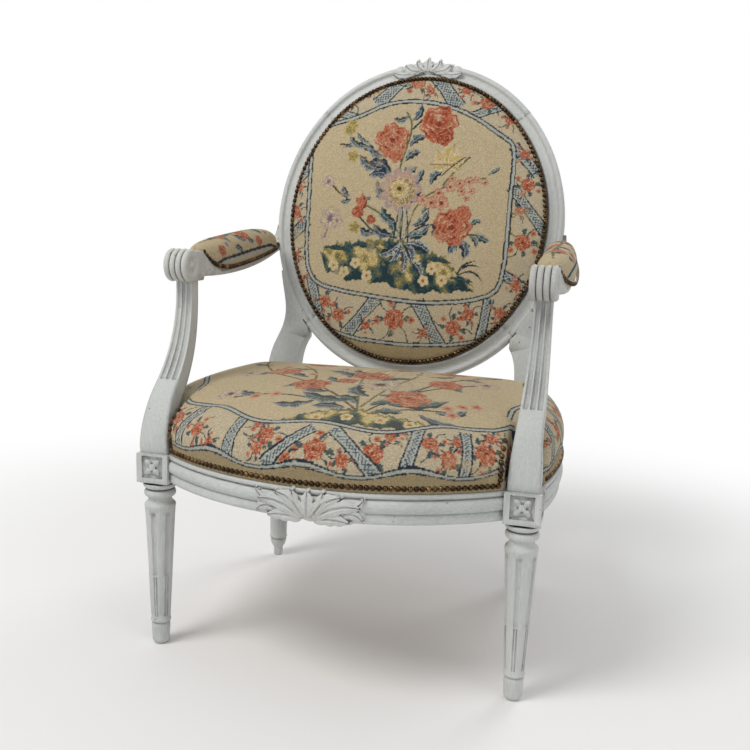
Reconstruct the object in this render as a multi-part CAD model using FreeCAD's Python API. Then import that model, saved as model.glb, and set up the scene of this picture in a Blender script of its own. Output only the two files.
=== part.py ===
"""An open-arm armchair with an oval medallion back, in painted beech, covered in needlepoint.

Frame: +X to the right as seen from the front, +Y to the back, +Z up, millimetres.
The origin is on the floor, under the middle of the overall width and depth.
Every wooden piece is a separate solid joined by tenons or dowels, and the upholstery is
built up in its real layers: webbing, hessian, stuffing, cover and round-headed nails.
"""
import FreeCAD, Part
import math
import os

Vec = FreeCAD.Vector

# Seat frame, in plan. The front leg axes are this far in front of the origin.
leg_line_y = -222.0
front_leg_x = 270.0
rear_leg_x = 236.0
rear_leg_back = 412.0          # rear leg axes behind the front leg axes
front_bow = 106.0              # front rail ahead of the front leg axes, at the middle
front_rail_half_span = 244.0   # where the bowed front edge meets the leg blocks
front_rail_end_ahead = 20.0
side_start = (293.0, 25.0)     # outer line of the side rail: x, and y behind the front legs
side_middle = (306.0, 160.0)
side_end = (257.0, 390.0)
rear_rail_back = 436.0         # outer line of the rear rail at the middle
rear_rail_end_back = 431.0

# Heights.
rail_bottom = 260.0
rail_top = 302.0               # upper edge of the painted moulding
tack_height = 12.0             # strip above it that the cover is nailed to
block_bottom = 255.0
rail_thickness = 28.0
tack_step = 4.0                # the nailing strip lies this far behind the moulding

# Leaf carved on the front rail.
leaf_half_width = 75.0
leaf_lobes = 4                 # each side of the middle one
leaf_rise = 5.5
leaf_drop = 6.0

# Legs.
front_block = 50.0
rear_block_x = 46.0
rear_block_y = 44.0
leg_top_radius = 22.5
leg_ankle_radius = 14.0
foot_radius = 10.5
rear_top_radius = 20.0
rear_ankle_radius = 15.5
rear_foot_radius = 8.5
rear_block_top = 335.0
flute_count = 6
flute_radius = 4.2
flute_top = 208.0
flute_break = 114.0
flute_bottom = 46.0

# Tenons, dowels and pegs.
tenon_length = 16.0
tenon_thickness = 10.0
tenon_height = 26.0
tenon_gap = 0.1                # clearance all round a tenon in its mortise
dowel_radius = 4.5
dowel_length = 34.0
dowel_gap = 0.05
peg_radius = 2.5

# Medallion back: an oval of four arcs in a plane that leans back.
back_lean = 12.4               # degrees
back_centre_behind = 464.0     # centre of the oval behind the front legs
back_centre_z = 649.0
back_half_width = 266.0
back_half_height = 291.0
back_join_angle = 40.0         # where the side and end arcs meet, above the horizontal
ring_depth = 30.0
ring_face = 27.0               # visible moulding
ring_width = 50.0              # moulding and the nailing rebate inside it
ring_rebate = 5.0
crest_half_width = 66.0
crest_rise = 8.0
stile_front = 1.5               # the stile's face lies this far behind the ring's

# Arms.
scroll_y = 76.0                # centre of the arm's front scroll, behind the front legs
scroll_z = 573.0
scroll_x = 272.0
scroll_radius = 25.0
scroll_width = 38.0
scroll_lobes = 4
support_top = 549.0
arm_end_back = 477.0

# Upholstery.
cloth = 2.5
hessian_thickness = 1.5
strap_width = 50.0
strap_thickness = 2.0
nail_row = 4.0                 # nail line above the moulding
cover_gap = 0.3
notch_gap = 1.5

# Nails.
nail_pitch = 8.0
nail_radius = 3.8
nail_rise = 2.6
nail_rim = 0.4
corner_nail_count = 7          # up each arm support

sin = math.sin
cos = math.cos
rad = math.radians


def export(name, shape):
    """Writes one node as parts/NAME.step."""
    shape.exportStep("parts/%s.step" % name)


def face_of(edges):
    return Part.Face(Part.Wire(Part.__sortEdges__(edges)))


def path_edges(steps):
    """Edges of a closed outline. A step is a point, or (middle, end) for an arc to end."""
    edges = []
    start = steps[0]
    last = start
    for step in steps[1:] + [start]:
        if isinstance(step, tuple):
            edges.append(Part.Arc(last, step[0], step[1]).toShape())
            last = step[1]
        elif last.distanceToPoint(step) > 1e-6:
            edges.append(Part.makeLine(last, step))
            last = step
    return edges


def box(x0, x1, y0, y1, z0, z1):
    return Part.makeBox(x1 - x0, y1 - y0, z1 - z0, Vec(x0, y0, z0))


def mirror_x(shape):
    return shape.mirror(Vec(0, 0, 0), Vec(1, 0, 0))


def circle_through(a, b, c):
    """Centre (x, y) and radius of the circle through three points of a plan."""
    d = 2 * (a[0] * (b[1] - c[1]) + b[0] * (c[1] - a[1]) + c[0] * (a[1] - b[1]))
    sa, sb, sc = (p[0] ** 2 + p[1] ** 2 for p in (a, b, c))
    x = (sa * (b[1] - c[1]) + sb * (c[1] - a[1]) + sc * (a[1] - b[1])) / d
    y = (sa * (c[0] - b[0]) + sb * (a[0] - c[0]) + sc * (b[0] - a[0])) / d
    return (x, y), math.hypot(a[0] - x, a[1] - y)


def plan(point):
    """A point given behind the front legs, in the chair's frame."""
    return (point[0], point[1] + leg_line_y)


def bezier(points):
    """A smooth edge from the first point to the last, drawn towards those between."""
    curve = Part.BezierCurve()
    curve.setPoles(points)
    return curve.toShape()


def spline(points):
    """A smooth edge through all its points."""
    curve = Part.BSplineCurve()
    curve.interpolate(points)
    return curve.toShape()


def loft(wires):
    return Part.makeLoft(wires, True, False)


def largest(shape):
    return max(shape.Solids, key=lambda s: s.Volume)


# The four outer lines of the seat, as circles in plan.
front_circle = circle_through(plan((-front_rail_half_span, -front_rail_end_ahead)),
                              plan((0, -front_bow)),
                              plan((front_rail_half_span, -front_rail_end_ahead)))
right_circle = circle_through(plan(side_start), plan(side_middle), plan(side_end))
left_circle = ((-right_circle[0][0], right_circle[0][1]), right_circle[1])
rear_circle = circle_through(plan((-rear_leg_x, rear_rail_end_back)), plan((0, rear_rail_back)),
                             plan((rear_leg_x, rear_rail_end_back)))
rear_leg_y = leg_line_y + rear_leg_back
deck = rail_top + tack_height


def meeting(circle_a, circle_b, near):
    """The crossing of two circles that lies nearer to a point."""
    (ax, ay), ra = circle_a
    (bx, by), rb = circle_b
    gap = math.hypot(bx - ax, by - ay)
    along = (ra * ra - rb * rb + gap * gap) / (2 * gap)
    off = math.sqrt(max(ra * ra - along * along, 0))
    ux, uy = (bx - ax) / gap, (by - ay) / gap
    options = [(ax + along * ux + s * off * uy, ay + along * uy - s * off * ux) for s in (1, -1)]
    return min(options, key=lambda p: math.hypot(p[0] - near[0], p[1] - near[1]))


def seat_outline(front, side, rear, corner, z):
    """A closed wire of eight arcs: the seat's plan drawn in by the given distances."""
    inset = [(front_circle, front), (right_circle, side), (rear_circle, rear), (left_circle, side)]
    corners = [(front_leg_x, leg_line_y), (rear_leg_x, rear_leg_y),
               (-rear_leg_x, rear_leg_y), (-front_leg_x, leg_line_y)]
    centres = []
    for i, near in enumerate(corners):
        pair = [inset[i], inset[(i + 1) % 4]]
        centres.append(meeting(*[(c[0], c[1] - d - corner) for c, d in pair], near))

    def touch(circle, centre):
        (cx, cy) = circle[0]
        far = math.hypot(centre[0] - cx, centre[1] - cy)
        return Vec(centre[0] + corner * (centre[0] - cx) / far,
                   centre[1] + corner * (centre[1] - cy) / far, z)

    def between(centre, radius, start, end):
        mid = ((start + end) * 0.5) - Vec(centre[0], centre[1], z)
        return Vec(centre[0], centre[1], z) + mid * (radius / mid.Length)

    edges = []
    for i in range(4):
        side_now, side_next = inset[i], inset[(i + 1) % 4]
        start = touch(side_now[0], centres[i - 1])
        end = touch(side_now[0], centres[i])
        turn_end = touch(side_next[0], centres[i])
        radius = side_now[0][1] - side_now[1]
        edges.append(Part.Arc(start, between(side_now[0][0], radius, start, end), end).toShape())
        middle = between(centres[i], corner, end, turn_end)
        edges.append(Part.Arc(end, middle, turn_end).toShape())
    return Part.Wire(edges)


# Rails.
def rail_profile(radius):
    """Section of a rail, in the XZ plane, with its outer line at a radius."""
    def at(out, z):
        return Vec(radius + out, 0, z)
    return face_of(path_edges([
        at(-rail_thickness, rail_bottom), at(-3, rail_bottom),
        (at(-1.2, rail_bottom + 3), at(-1.5, rail_bottom + 7)),
        at(-1.5, rail_bottom + 12), at(-3.5, rail_bottom + 14),
        (at(2.6, rail_bottom + 24), at(-2.0, rail_bottom + 33.5)),
        at(-3.2, rail_bottom + 34.5), at(0, rail_bottom + 36), at(0, rail_top),
        at(-tack_step, rail_top), at(-tack_step, deck), at(-rail_thickness, deck)]))


def curved_rail(circle, start, end):
    """The rail's section turned about the middle of its circle, between two directions."""
    (cx, cy), radius = circle
    solid = rail_profile(radius).revolve(Vec(0, 0, 0), Vec(0, 0, 1), end - start)
    solid.rotate(Vec(0, 0, 0), Vec(0, 0, 1), start)
    solid.translate(Vec(cx, cy, 0))
    return solid


def direction(circle, point):
    return math.degrees(math.atan2(point[1] - circle[0][1], point[0] - circle[0][0]))


front_faces = (front_leg_x - front_block / 2, front_leg_x + front_block / 2,
               leg_line_y - front_block / 2, leg_line_y + front_block / 2)
rear_faces = (rear_leg_x - rear_block_x / 2, rear_leg_x + rear_block_x / 2,
              rear_leg_y - rear_block_y / 2, rear_leg_y + rear_block_y / 2)
low, high = block_bottom - 5, deck + 60
block_spaces = []
for faces, ahead, past in ((front_faces, 8, 0), (rear_faces, 0, 8)):
    space = box(faces[0], faces[1] + 30, faces[2] - ahead, faces[3] + past, low, high)
    block_spaces += [space, mirror_x(space)]
tenon_z = rail_bottom + 6
tenon_band = (tenon_z, tenon_z + tenon_height)

front_tenon = box(front_faces[0] - 6, front_faces[0] + tenon_length,
                  leg_line_y - 9, leg_line_y - 9 + tenon_thickness, *tenon_band)
side_tenon_front = box(front_leg_x + 3, front_leg_x + 3 + tenon_thickness,
                       front_faces[3] - tenon_length, front_faces[3] + 6, *tenon_band)
side_tenon_rear = box(rear_leg_x + 2, rear_leg_x + 2 + tenon_thickness,
                      rear_faces[2] - 6, rear_faces[2] + tenon_length, *tenon_band)
rear_tenon = box(rear_faces[0] - 6, rear_faces[0] + tenon_length,
                 rear_leg_y + 2, rear_leg_y + 2 + tenon_thickness, *tenon_band)


def grown(shape_box, gap):
    """A tenon's box, larger all round: its mortise."""
    b = shape_box.BoundBox
    return box(b.XMin - gap, b.XMax + gap, b.YMin - gap, b.YMax + gap, b.ZMin - gap, b.ZMax + gap)


def trimmed(rail, tenons):
    for space in block_spaces:
        rail = rail.cut(space)
    rail = max(rail.Solids, key=lambda s: s.Volume)
    for tenon in tenons:
        rail = rail.fuse(tenon)
    return rail.removeSplitter().Solids[0]


def rail_leaf():
    """The mass of the leaf carved on the middle of the front rail, as rounded lobes."""
    (cx, cy), radius = front_circle
    balls = []
    for k in range(-leaf_lobes, leaf_lobes + 1):
        angle = -math.pi / 2 + k * leaf_half_width / (leaf_lobes + 0.6) / radius
        size = 23.0 - 2.4 * abs(k)
        out = radius + leaf_rise * (1 - 0.1 * abs(k)) - size
        z = rail_bottom - leaf_drop * (1 - 0.22 * abs(k)) + size
        balls.append(Part.makeSphere(size, Vec(cx + out * cos(angle), cy + out * sin(angle), z)))
    lobes = balls[0].fuse(balls[1:])
    return lobes.common(box(-120, 120, -600, cy, rail_bottom - 20, rail_top - 2))


def front_rail():
    reach = direction(front_circle, (front_leg_x - 12, leg_line_y - 10))
    rail = curved_rail(front_circle, -180 - reach, reach)
    rail = trimmed(rail.fuse(rail_leaf()), [front_tenon, mirror_x(front_tenon)])
    drill = hole(front_pegs[0])
    return rail.cut(drill).cut(mirror_x(drill))


def side_rail():
    start = direction(right_circle, (side_start[0], leg_line_y))
    end = direction(right_circle, (rear_leg_x + 20, rear_leg_y + 6))
    rail = trimmed(curved_rail(right_circle, start, end), [side_tenon_front, side_tenon_rear])
    return rail.cut(hole(front_pegs[1])).cut(hole(rear_pegs[1]))


def rear_rail():
    start = direction(rear_circle, (rear_leg_x - 10, rear_leg_y + 14))
    rail = trimmed(curved_rail(rear_circle, start, 180 - start),
                   [rear_tenon, mirror_x(rear_tenon)])
    drill = hole(rear_pegs[0])
    return rail.cut(drill).cut(mirror_x(drill))


# Legs.
def turned(points, x, y):
    """A turned solid from (radius, z) points, or (mid, end) pairs of them for an arc."""
    def at(p):
        return Vec(p[0], 0, p[1])
    steps = [Vec(0, 0, points[0][1])]
    for p in points:
        steps.append((at(p[0]), at(p[1])) if isinstance(p[0], tuple) else at(p))
    last = points[-1]
    top = last[1][1] if isinstance(last[0], tuple) else last[1]
    steps.append(Vec(0, 0, top))
    solid = face_of(path_edges(steps)).revolve(Vec(0, 0, 0), Vec(0, 0, 1), 360)
    solid.translate(Vec(x, y, 0))
    return solid


def leg_turning(x, y, top, ankle, foot):
    """Foot, ring, taper, shoulder, hollow neck and collar, up to the block."""
    return turned(foot + [
                   (ankle - 1.6, 34.2), (ankle - 1.6, 35.4),
                   (ankle + 0.6, 36.2), ((ankle + 1.2, 38.6), (ankle + 0.2, 41.0)),
                   (top, 217), ((top + 0.6, 220), (top - 0.6, 223.5)),
                   ((top - 4.6, 228.0), (top - 4.4, 233.5)),
                   ((top + 1.0, 239.0), (top - 1.8, 245.2)),
                   (top - 3.2, 246.2), (top - 0.4, 248.0),
                   ((top + 1.6, 250.2), (top + 1.8, block_bottom))], x, y)


def flute_cutters(x, y, top, ankle):
    """Open flutes on the upper leg, and thin cuts beside the filled flutes below."""
    cutters = []
    slope = (top - ankle) / (217 - 41.0)
    for k in range(flute_count):
        turn = 360.0 * (k + 0.5) / flute_count
        for z0, z1, radius in ((flute_break, flute_top, flute_radius),
                               (flute_bottom, flute_break - 4, 1.1)):
            r0 = ankle + slope * (z0 - 41.0)
            r1 = ankle + slope * (z1 - 41.0)
            sink = 0.25 * radius
            shrink = 0.85 if radius > 2 else 1.0
            start, end = Vec(r0 + sink, 0, z0), Vec(r1 + sink, 0, z1)
            shifts = (0,) if radius > 2 else (-0.13 * r0, 0.13 * r0)
            for shift in shifts:
                if radius > 2:
                    bar = Part.makeCone(radius * shrink, radius, (end - start).Length,
                                        start, end - start)
                else:
                    bar = Part.makeCylinder(radius, (end - start).Length, start, end - start)
                cutter = bar
                if radius > 2:
                    cutter = bar.fuse([Part.makeSphere(radius * shrink, start),
                                       Part.makeSphere(radius, end)])
                cutter.translate(Vec(0, shift, 0))
                cutter.rotate(Vec(0, 0, 0), Vec(0, 0, 1), turn)
                cutter.translate(Vec(x, y, 0))
                cutters.append(cutter)
    return cutters


def block(x, y, wide, deep, top):
    """The square block, with its foot drawn in by a cove to the round of the leg."""
    cove = 8.0
    body = box(x - wide / 2, x + wide / 2, y - deep / 2, y + deep / 2, block_bottom, top)
    lower = [e for e in body.Edges if abs(e.BoundBox.ZMax - block_bottom) < 1e-6]
    return body.makeChamfer(cove * 0.45, cove, lower) if lower else body


def rosette(x, y, face):
    """A carved flower of four leaves round a button, standing in a square recess."""
    size = front_block * 0.66
    depth = 2.6
    z = (block_bottom + 8 + rail_top) / 2
    recess = box(-size / 2, size / 2, -depth, 1, z - size / 2, z + size / 2)
    parts = [Part.makeSphere(5.2, Vec(0, 1.6 - depth, z))]
    for k in range(4):
        leaf = Part.makeSphere(9.0, Vec(0, 6.2 - depth, 9.5))
        leaf = leaf.common(Part.makeCylinder(6.4, 20, Vec(-2.2, -10, 9.5), Vec(0, 1, 0)))
        leaf = leaf.common(Part.makeCylinder(6.4, 20, Vec(2.2, -10, 9.5), Vec(0, 1, 0)))
        leaf.rotate(Vec(0, 0, 0), Vec(0, 1, 0), 45 + 90 * k)
        leaf.translate(Vec(0, 0, z))
        parts.append(leaf)
    flower = parts[0].fuse(parts[1:])
    flower = flower.common(box(-size / 2, size / 2, -depth - 2, 0, z - size / 2, z + size / 2))
    for shape in (recess, flower):
        shape.rotate(Vec(0, 0, 0), Vec(0, 0, 1), face)
        shape.translate(Vec(x, y, 0))
    return recess, flower


def front_leg():
    x, y = front_leg_x, leg_line_y
    round_foot = [(foot_radius - 3, 0), ((foot_radius + 0.6, 2.6), (foot_radius + 2.4, 10)),
                  ((leg_ankle_radius - 0.3, 20), (leg_ankle_radius - 0.2, 33))]
    leg = leg_turning(x, y, leg_top_radius, leg_ankle_radius, round_foot)
    leg = leg.cut(Part.makeCompound(flute_cutters(x, y, leg_top_radius, leg_ankle_radius)))
    head = block(x, y, front_block, front_block, rail_top)
    for centre_x, centre_y, face in ((x, front_faces[2], 180), (front_faces[1], y, -90)):
        recess, flower = rosette(centre_x, centre_y, face)
        head = head.cut(recess).fuse(flower)
    leg = leg.fuse(head)
    for tenon in (front_tenon, side_tenon_front):
        leg = leg.cut(grown(tenon, tenon_gap))
    return leg.cut(hole(support_dowel)).cut(holes(front_pegs))


# Pegs and dowels. Each is given by its start, its direction and its length.
def pin(radius, start, along, length):
    return (radius, Vec(*start), Vec(*along), length)


def rod(item):
    radius, start, along, length = item
    return Part.makeCylinder(radius, length, start, along)


def hole(item):
    radius, start, along, length = item
    return Part.makeCylinder(radius + dowel_gap, length + 2 * dowel_gap,
                             start - along * dowel_gap, along)


def holes(items):
    return Part.makeCompound([hole(item) for item in items])


peg_z = tenon_z + tenon_height / 2
tenon_middle = tenon_length / 2
front_pegs = [
    pin(peg_radius, (front_faces[0] + tenon_middle, front_faces[3], peg_z), (0, -1, 0),
        front_block - 12),
    pin(peg_radius, (front_faces[0], front_faces[3] - tenon_middle, peg_z), (1, 0, 0),
        front_block - 8)]
rear_pegs = [
    pin(peg_radius, (rear_faces[0] + tenon_middle, rear_faces[2], peg_z), (0, 1, 0),
        rear_block_y - 6),
    pin(peg_radius, (rear_faces[0], rear_faces[2] + tenon_middle, peg_z), (1, 0, 0),
        rear_block_x - 7)]
support_dowel = pin(dowel_radius, (front_leg_x - 3.5, leg_line_y + 3, rail_top - 22),
                    (0, 0, 1), dowel_length + 10)


# The oval of the back, upright and centred on the origin: x across, y to the back, z up.
join_sin, join_cos = sin(rad(back_join_angle)), cos(rad(back_join_angle))
side_shift = (back_half_height - back_half_width) / (1 + join_sin / join_cos - 1 / join_cos)
end_shift = side_shift * join_sin / join_cos
side_radius = back_half_width + side_shift
end_radius = back_half_height - end_shift


def leaned(shape):
    """Brings a shape from the upright oval's frame to its place in the chair."""
    shape = shape.copy()
    shape.rotate(Vec(0, 0, 0), Vec(1, 0, 0), -back_lean)
    shape.translate(Vec(0, leg_line_y + back_centre_behind, back_centre_z))
    return shape


def oval_wire(inset, y):
    join_x = (end_radius - inset) * join_cos
    join_z = (side_radius - inset) * join_sin
    wide, tall = back_half_width - inset, back_half_height - inset
    right_low, right_high = Vec(join_x, y, -join_z), Vec(join_x, y, join_z)
    left_low, left_high = Vec(-join_x, y, -join_z), Vec(-join_x, y, join_z)
    return Part.Wire([Part.Arc(right_low, Vec(wide, y, 0), right_high).toShape(),
                      Part.Arc(right_high, Vec(0, y, tall), left_high).toShape(),
                      Part.Arc(left_high, Vec(-wide, y, 0), left_low).toShape(),
                      Part.Arc(left_low, Vec(0, y, -tall), right_low).toShape()])


def oval_plate(inset, front, back):
    return Part.Face(oval_wire(inset, front)).extrude(Vec(0, back - front, 0))


def oval_point(angle, inset):
    """The point of the oval in a direction of its normal, and that normal."""
    normal = Vec(cos(rad(angle)), 0, sin(rad(angle)))
    folded = abs((angle + 180) % 360 - 180)
    if folded <= back_join_angle:
        return Vec(-side_shift, 0, 0) + normal * (side_radius - inset), normal
    if folded >= 180 - back_join_angle:
        return Vec(side_shift, 0, 0) + normal * (side_radius - inset), normal
    lift = end_shift if (angle % 360) < 180 else -end_shift
    return Vec(0, 0, lift) + normal * (end_radius - inset), normal


def ring_part(centre_x, centre_z, radius, start, sweep):
    """The ring's moulded section turned about the middle of one arc."""
    def at(inward, back):
        return Vec(centre_x + radius - inward, back, centre_z)
    section = face_of(path_edges([
        at(2, ring_depth), at(0, ring_depth - 2), at(0, 8),
        (at(1.8, 2.2), at(7, 0.3)), at(9.5, 1.4), at(10.4, 3.4),
        (at(15.5, 4.4), at(21.5, 1.4)), at(22.3, 0), at(ring_face, 0),
        at(ring_face, ring_rebate), at(ring_width, ring_rebate), at(ring_width, ring_depth)]))
    centre = Vec(centre_x, 0, centre_z)
    solid = section.revolve(centre, Vec(0, -1, 0), sweep)
    solid.rotate(centre, Vec(0, -1, 0), start)
    return solid


def ring_dowels():
    """Two dowels across each of the ring's four joints."""
    items = []
    for angle in (back_join_angle, 180 - back_join_angle,
                  180 + back_join_angle, 360 - back_join_angle):
        for inward in (14.0, ring_width - 12):
            point, normal = oval_point(angle, inward)
            along = Vec(-normal.z, 0, normal.x)
            start = point + Vec(0, 0.6 * ring_depth, 0) - along * (dowel_length / 2)
            items.append(pin(dowel_radius, tuple(start), tuple(along), dowel_length))
    return items


def carved_lobes(places):
    """Rounded leaf lobes. Each is a centre and a radius."""
    balls = [Part.makeSphere(radius, centre) for centre, radius in places]
    return balls[0].fuse(balls[1:])


def crest_lobes():
    places = []
    for k in range(-3, 4):
        angle = 90 - k * math.degrees(crest_half_width / 3.6 / end_radius)
        size = 18.0 - 2.0 * abs(k)
        point, normal = oval_point(angle, size - crest_rise * (1 - 0.2 * abs(k)))
        places.append((point + Vec(0, size - 4.5 + 0.7 * abs(k), 0), size))
    return carved_lobes(places)


def crest_rail():
    solid = ring_part(0, end_shift, end_radius, back_join_angle, 180 - 2 * back_join_angle)
    leaf = crest_lobes().common(oval_plate(-crest_rise - 1, -6, ring_depth - 4))
    leaf = leaf.cut(oval_plate(ring_face - 2, -20, ring_depth))
    solid = largest(solid.fuse(leaf))
    return solid.cut(holes(ring_dowels()))


def lower_rail():
    solid = ring_part(0, -end_shift, end_radius, 180 + back_join_angle,
                      180 - 2 * back_join_angle)
    return solid.cut(holes(ring_dowels()))


stile_foot = -340.0            # where the stile dies into the block, in the oval's frame
stile_tip = -103.0


def stile():
    """The swept part of the rear post, between the seat and the side of the oval."""
    def at(x, z):
        return Vec(x, stile_front, z)
    tip = -side_shift + math.sqrt(side_radius ** 2 - stile_tip ** 2)
    outer = spline([at(259, stile_foot), at(259, -281), at(252, -245), at(239, -212),
                    at(234, -183), at(238, -153), at(tip + 1, stile_tip)])
    inner = spline([at(213, stile_foot), at(202, -281), at(200, -255), at(188, -222)])
    inside = Part.Arc(at(188, -222), at(202, -154), at(tip - 14, stile_tip)).toShape()
    edges = [outer, inner, inside, Part.makeLine(at(tip + 1, stile_tip), at(tip - 14, stile_tip)),
             Part.makeLine(at(259, stile_foot), at(213, stile_foot))]
    plate = face_of(edges).extrude(Vec(0, ring_depth - stile_front, 0))
    join_z = -side_radius * join_sin
    side_disc = Part.makeCylinder(side_radius - 4, 2 * ring_depth, Vec(-side_shift, -5, 0),
                                  Vec(0, 1, 0))
    end_disc = Part.makeCylinder(end_radius + cover_gap, 2 * ring_depth, Vec(0, -5, -end_shift),
                                 Vec(0, 1, 0))
    below = box(0, 400, -10, 2 * ring_depth, -400, join_z + 8)
    return largest(plate.cut(side_disc).cut(end_disc.common(below)))


def rear_post():
    """One piece of wood: turned leg, block, stile and the side of the oval."""
    x, y = rear_leg_x, rear_leg_y
    upper = ring_part(-side_shift, 0, side_radius, -back_join_angle, 2 * back_join_angle)
    upper = upper.cut(holes(ring_dowels()))
    upper = leaned(upper.fuse(stile()))
    peg_foot = [(rear_foot_radius - 0.8, 0), (rear_foot_radius, 1.2), (rear_foot_radius + 0.3, 16),
                ((rear_ankle_radius - 2.2, 24), (rear_ankle_radius - 0.1, 33))]
    post = leg_turning(x, y, rear_top_radius, rear_ankle_radius, peg_foot)
    head = block(x, y, rear_block_x, rear_block_y, rear_block_top)
    top_edges = [e for e in head.Edges if abs(e.BoundBox.ZMin - rear_block_top) < 1e-6]
    post = post.fuse([head.makeChamfer(5, top_edges), upper])
    for tenon in (side_tenon_rear, rear_tenon):
        post = post.cut(grown(tenon, tenon_gap))
    return largest(post.cut(holes(rear_pegs)).cut(arm()).cut(holes(arm_dowels)))


# Arms.
def behind(x, y, z):
    """A point given behind the front legs."""
    return Vec(x, y + leg_line_y, z)


support_stations = [           # front edge (y, z), depth, tilt of the face, width
    (-18, rail_top, 40, 0, 43), (-18, 330, 39, 3, 43), (-3, 369, 35, 34, 38),
    (28, 405, 31, 39, 34), (66, 456, 27, 26, 30), (81, 502, 24, 9, 27),
    (84, support_top, 23, 0, 26)]


def support_frame(station):
    """Front edge, direction to the back, and centre in x of one station."""
    y, z, depth, tilt, width = station
    rise = (z - rail_top) / (support_top - rail_top)
    x = front_leg_x + (scroll_x - front_leg_x) * rise
    return behind(x, y, z), Vec(0, cos(rad(tilt)), -sin(rad(tilt))), depth, width


def support_section(station):
    front, back, depth, width = support_frame(station)
    side = Vec(width / 2, 0, 0)
    bow = back * -1.4
    far = front + back * depth
    return Part.Wire([Part.Arc(front - side, front + bow, front + side).toShape(),
                      Part.makeLine(front + side, far + side * 0.94),
                      Part.makeLine(far + side * 0.94, far - side * 0.94),
                      Part.makeLine(far - side * 0.94, front - side)])


def support_flute(share):
    """One flute down the upper half of the support's face."""
    wires = []
    for station in support_stations[3:]:
        front, back, depth, width = support_frame(station)
        centre = front + Vec(width * share, 0, 0) - back * 1.6
        wires.append(Part.Wire(Part.makeCircle(width * 0.105, centre, back.cross(Vec(1, 0, 0)))))
    return loft(wires)


def arm_support():
    solid = loft([support_section(s) for s in support_stations])
    for share in (-0.29, 0.0, 0.29):
        solid = solid.cut(support_flute(share))
    return solid.cut(hole(support_dowel)).cut(hole(arm_dowels[0]))


def arm_scroll():
    """The ribbed drum at the front of the arm, with a sunk ring and a button on each side."""
    half = scroll_width / 2
    rib = scroll_width / scroll_lobes
    root = scroll_radius - 3.2

    def at(x, r):
        return behind(scroll_x + x, scroll_y, scroll_z + r)
    steps = [at(-half - 1.5, 0), at(-half - 1.5, 3), at(-half + 1.2, 5), at(-half + 1.2, 12),
             at(-half, 13), at(-half, root)]
    for k in range(scroll_lobes):
        left = -half + k * rib
        steps.append((at(left + rib / 2, scroll_radius), at(left + rib, root)))
    steps += [at(half, 13), at(half - 1.2, 12), at(half - 1.2, 5), at(half + 1.5, 3),
              at(half + 1.5, 0)]
    return face_of(path_edges(steps)).revolve(behind(0, scroll_y, scroll_z), Vec(1, 0, 0), 360)


arm_seat = [                   # top of the wood under the pad: y, z
    (112, 594), (134, 573), (172, 560), (240, 562), (330, 573), (431, 589)]


def arm():
    """The arm in one piece with its scroll: a side outline crossed with a plan outline."""
    def side(y, z):
        return behind(0, y, z)
    top = bezier([side(y, z) for y, z in arm_seat[:3]])
    seat = bezier([side(y, z) for y, z in arm_seat[2:]])
    flare = bezier([side(*arm_seat[-1]), side(450, 593), side(470, 608), side(arm_end_back, 632)])
    under = bezier([side(arm_end_back, 590), side(430, 580), side(330, 562), side(240, 552),
                    side(150, 554), side(118, 555)])
    side_face = face_of([
        top, seat, flare, under,
        Part.makeLine(side(arm_end_back, 632), side(arm_end_back, 590)),
        Part.makeLine(side(118, 555), side(114, support_top)),
        Part.makeLine(side(114, support_top), side(scroll_y, support_top)),
        Part.makeLine(side(scroll_y, support_top), side(scroll_y, 594)),
        Part.makeLine(side(scroll_y, 594), side(*arm_seat[0]))])
    side_solid = side_face.extrude(Vec(400, 0, 0))

    def flat(x, y):
        return behind(x, y, 500)
    half = scroll_width / 2 - 0.8
    outer = bezier([flat(scroll_x + half, 120), flat(302, 160), flat(304, 250), flat(292, 360),
                    flat(284, 430), flat(271, arm_end_back)])
    inner = bezier([flat(scroll_x - half, 120), flat(246, 160), flat(248, 250), flat(246, 330),
                    flat(254, 390), flat(258, 440)])
    plan_face = face_of([
        outer, inner,
        Part.makeLine(flat(scroll_x - half, 120), flat(scroll_x - half, scroll_y)),
        Part.makeLine(flat(scroll_x - half, scroll_y), flat(scroll_x + half, scroll_y)),
        Part.makeLine(flat(scroll_x + half, scroll_y), flat(scroll_x + half, 120)),
        Part.makeLine(flat(258, 440), flat(258, arm_end_back)),
        Part.makeLine(flat(258, arm_end_back), flat(271, arm_end_back))])
    solid = side_solid.common(plan_face.extrude(Vec(0, 0, 300)))
    solid = solid.fuse(arm_scroll())
    return largest(solid.cut(holes(arm_dowels)))


arm_dowels = [
    pin(dowel_radius, (scroll_x, leg_line_y + 100, support_top - 16), (0, 0, 1), dowel_length),
    pin(dowel_radius - 0.7, (240, leg_line_y + 465, 603), (1, 0, 0), dowel_length - 8),
    pin(dowel_radius - 0.7, (240, leg_line_y + 470, 618), (1, 0, 0), dowel_length - 8)]


# Upholstery of the seat.
seat_skirt = [                 # z, then inset from the front, side and rear lines, and corner
    (rail_top + 0.3, 1.2, 1.2, 1.2, 24), (rail_top + 10, 1.0, 1.0, 1.0, 24),
    (rail_top + 20, -0.5, 0.6, 1.2, 26)]
crown_base = 336.0
crown_top = 407.0
crown_corner = 30.0
crown_steps = (0, 12, 24, 36, 48, 59, 69, 77, 83)
crown_reach = {"front": (-3.0, 228.0, 2.0), "side": (-1.0, 172.0, 2.6), "rear": (4.0, 200.0, 1.55)}


def crown_inset(line, share):
    """Inset of the crown from one of the seat's lines, at a share of the crown's height."""
    start, reach, power = crown_reach[line]
    return start + reach * (1 - (1 - share ** power) ** (1 / power))


def crown_levels():
    levels = []
    for step in crown_steps:
        share = sin(rad(step))
        insets = [crown_inset(line, share) for line in ("front", "side", "rear")]
        levels.append((crown_base + (crown_top - crown_base) * share, *insets, crown_corner))
    return levels


seat_levels = seat_skirt + crown_levels()


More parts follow.
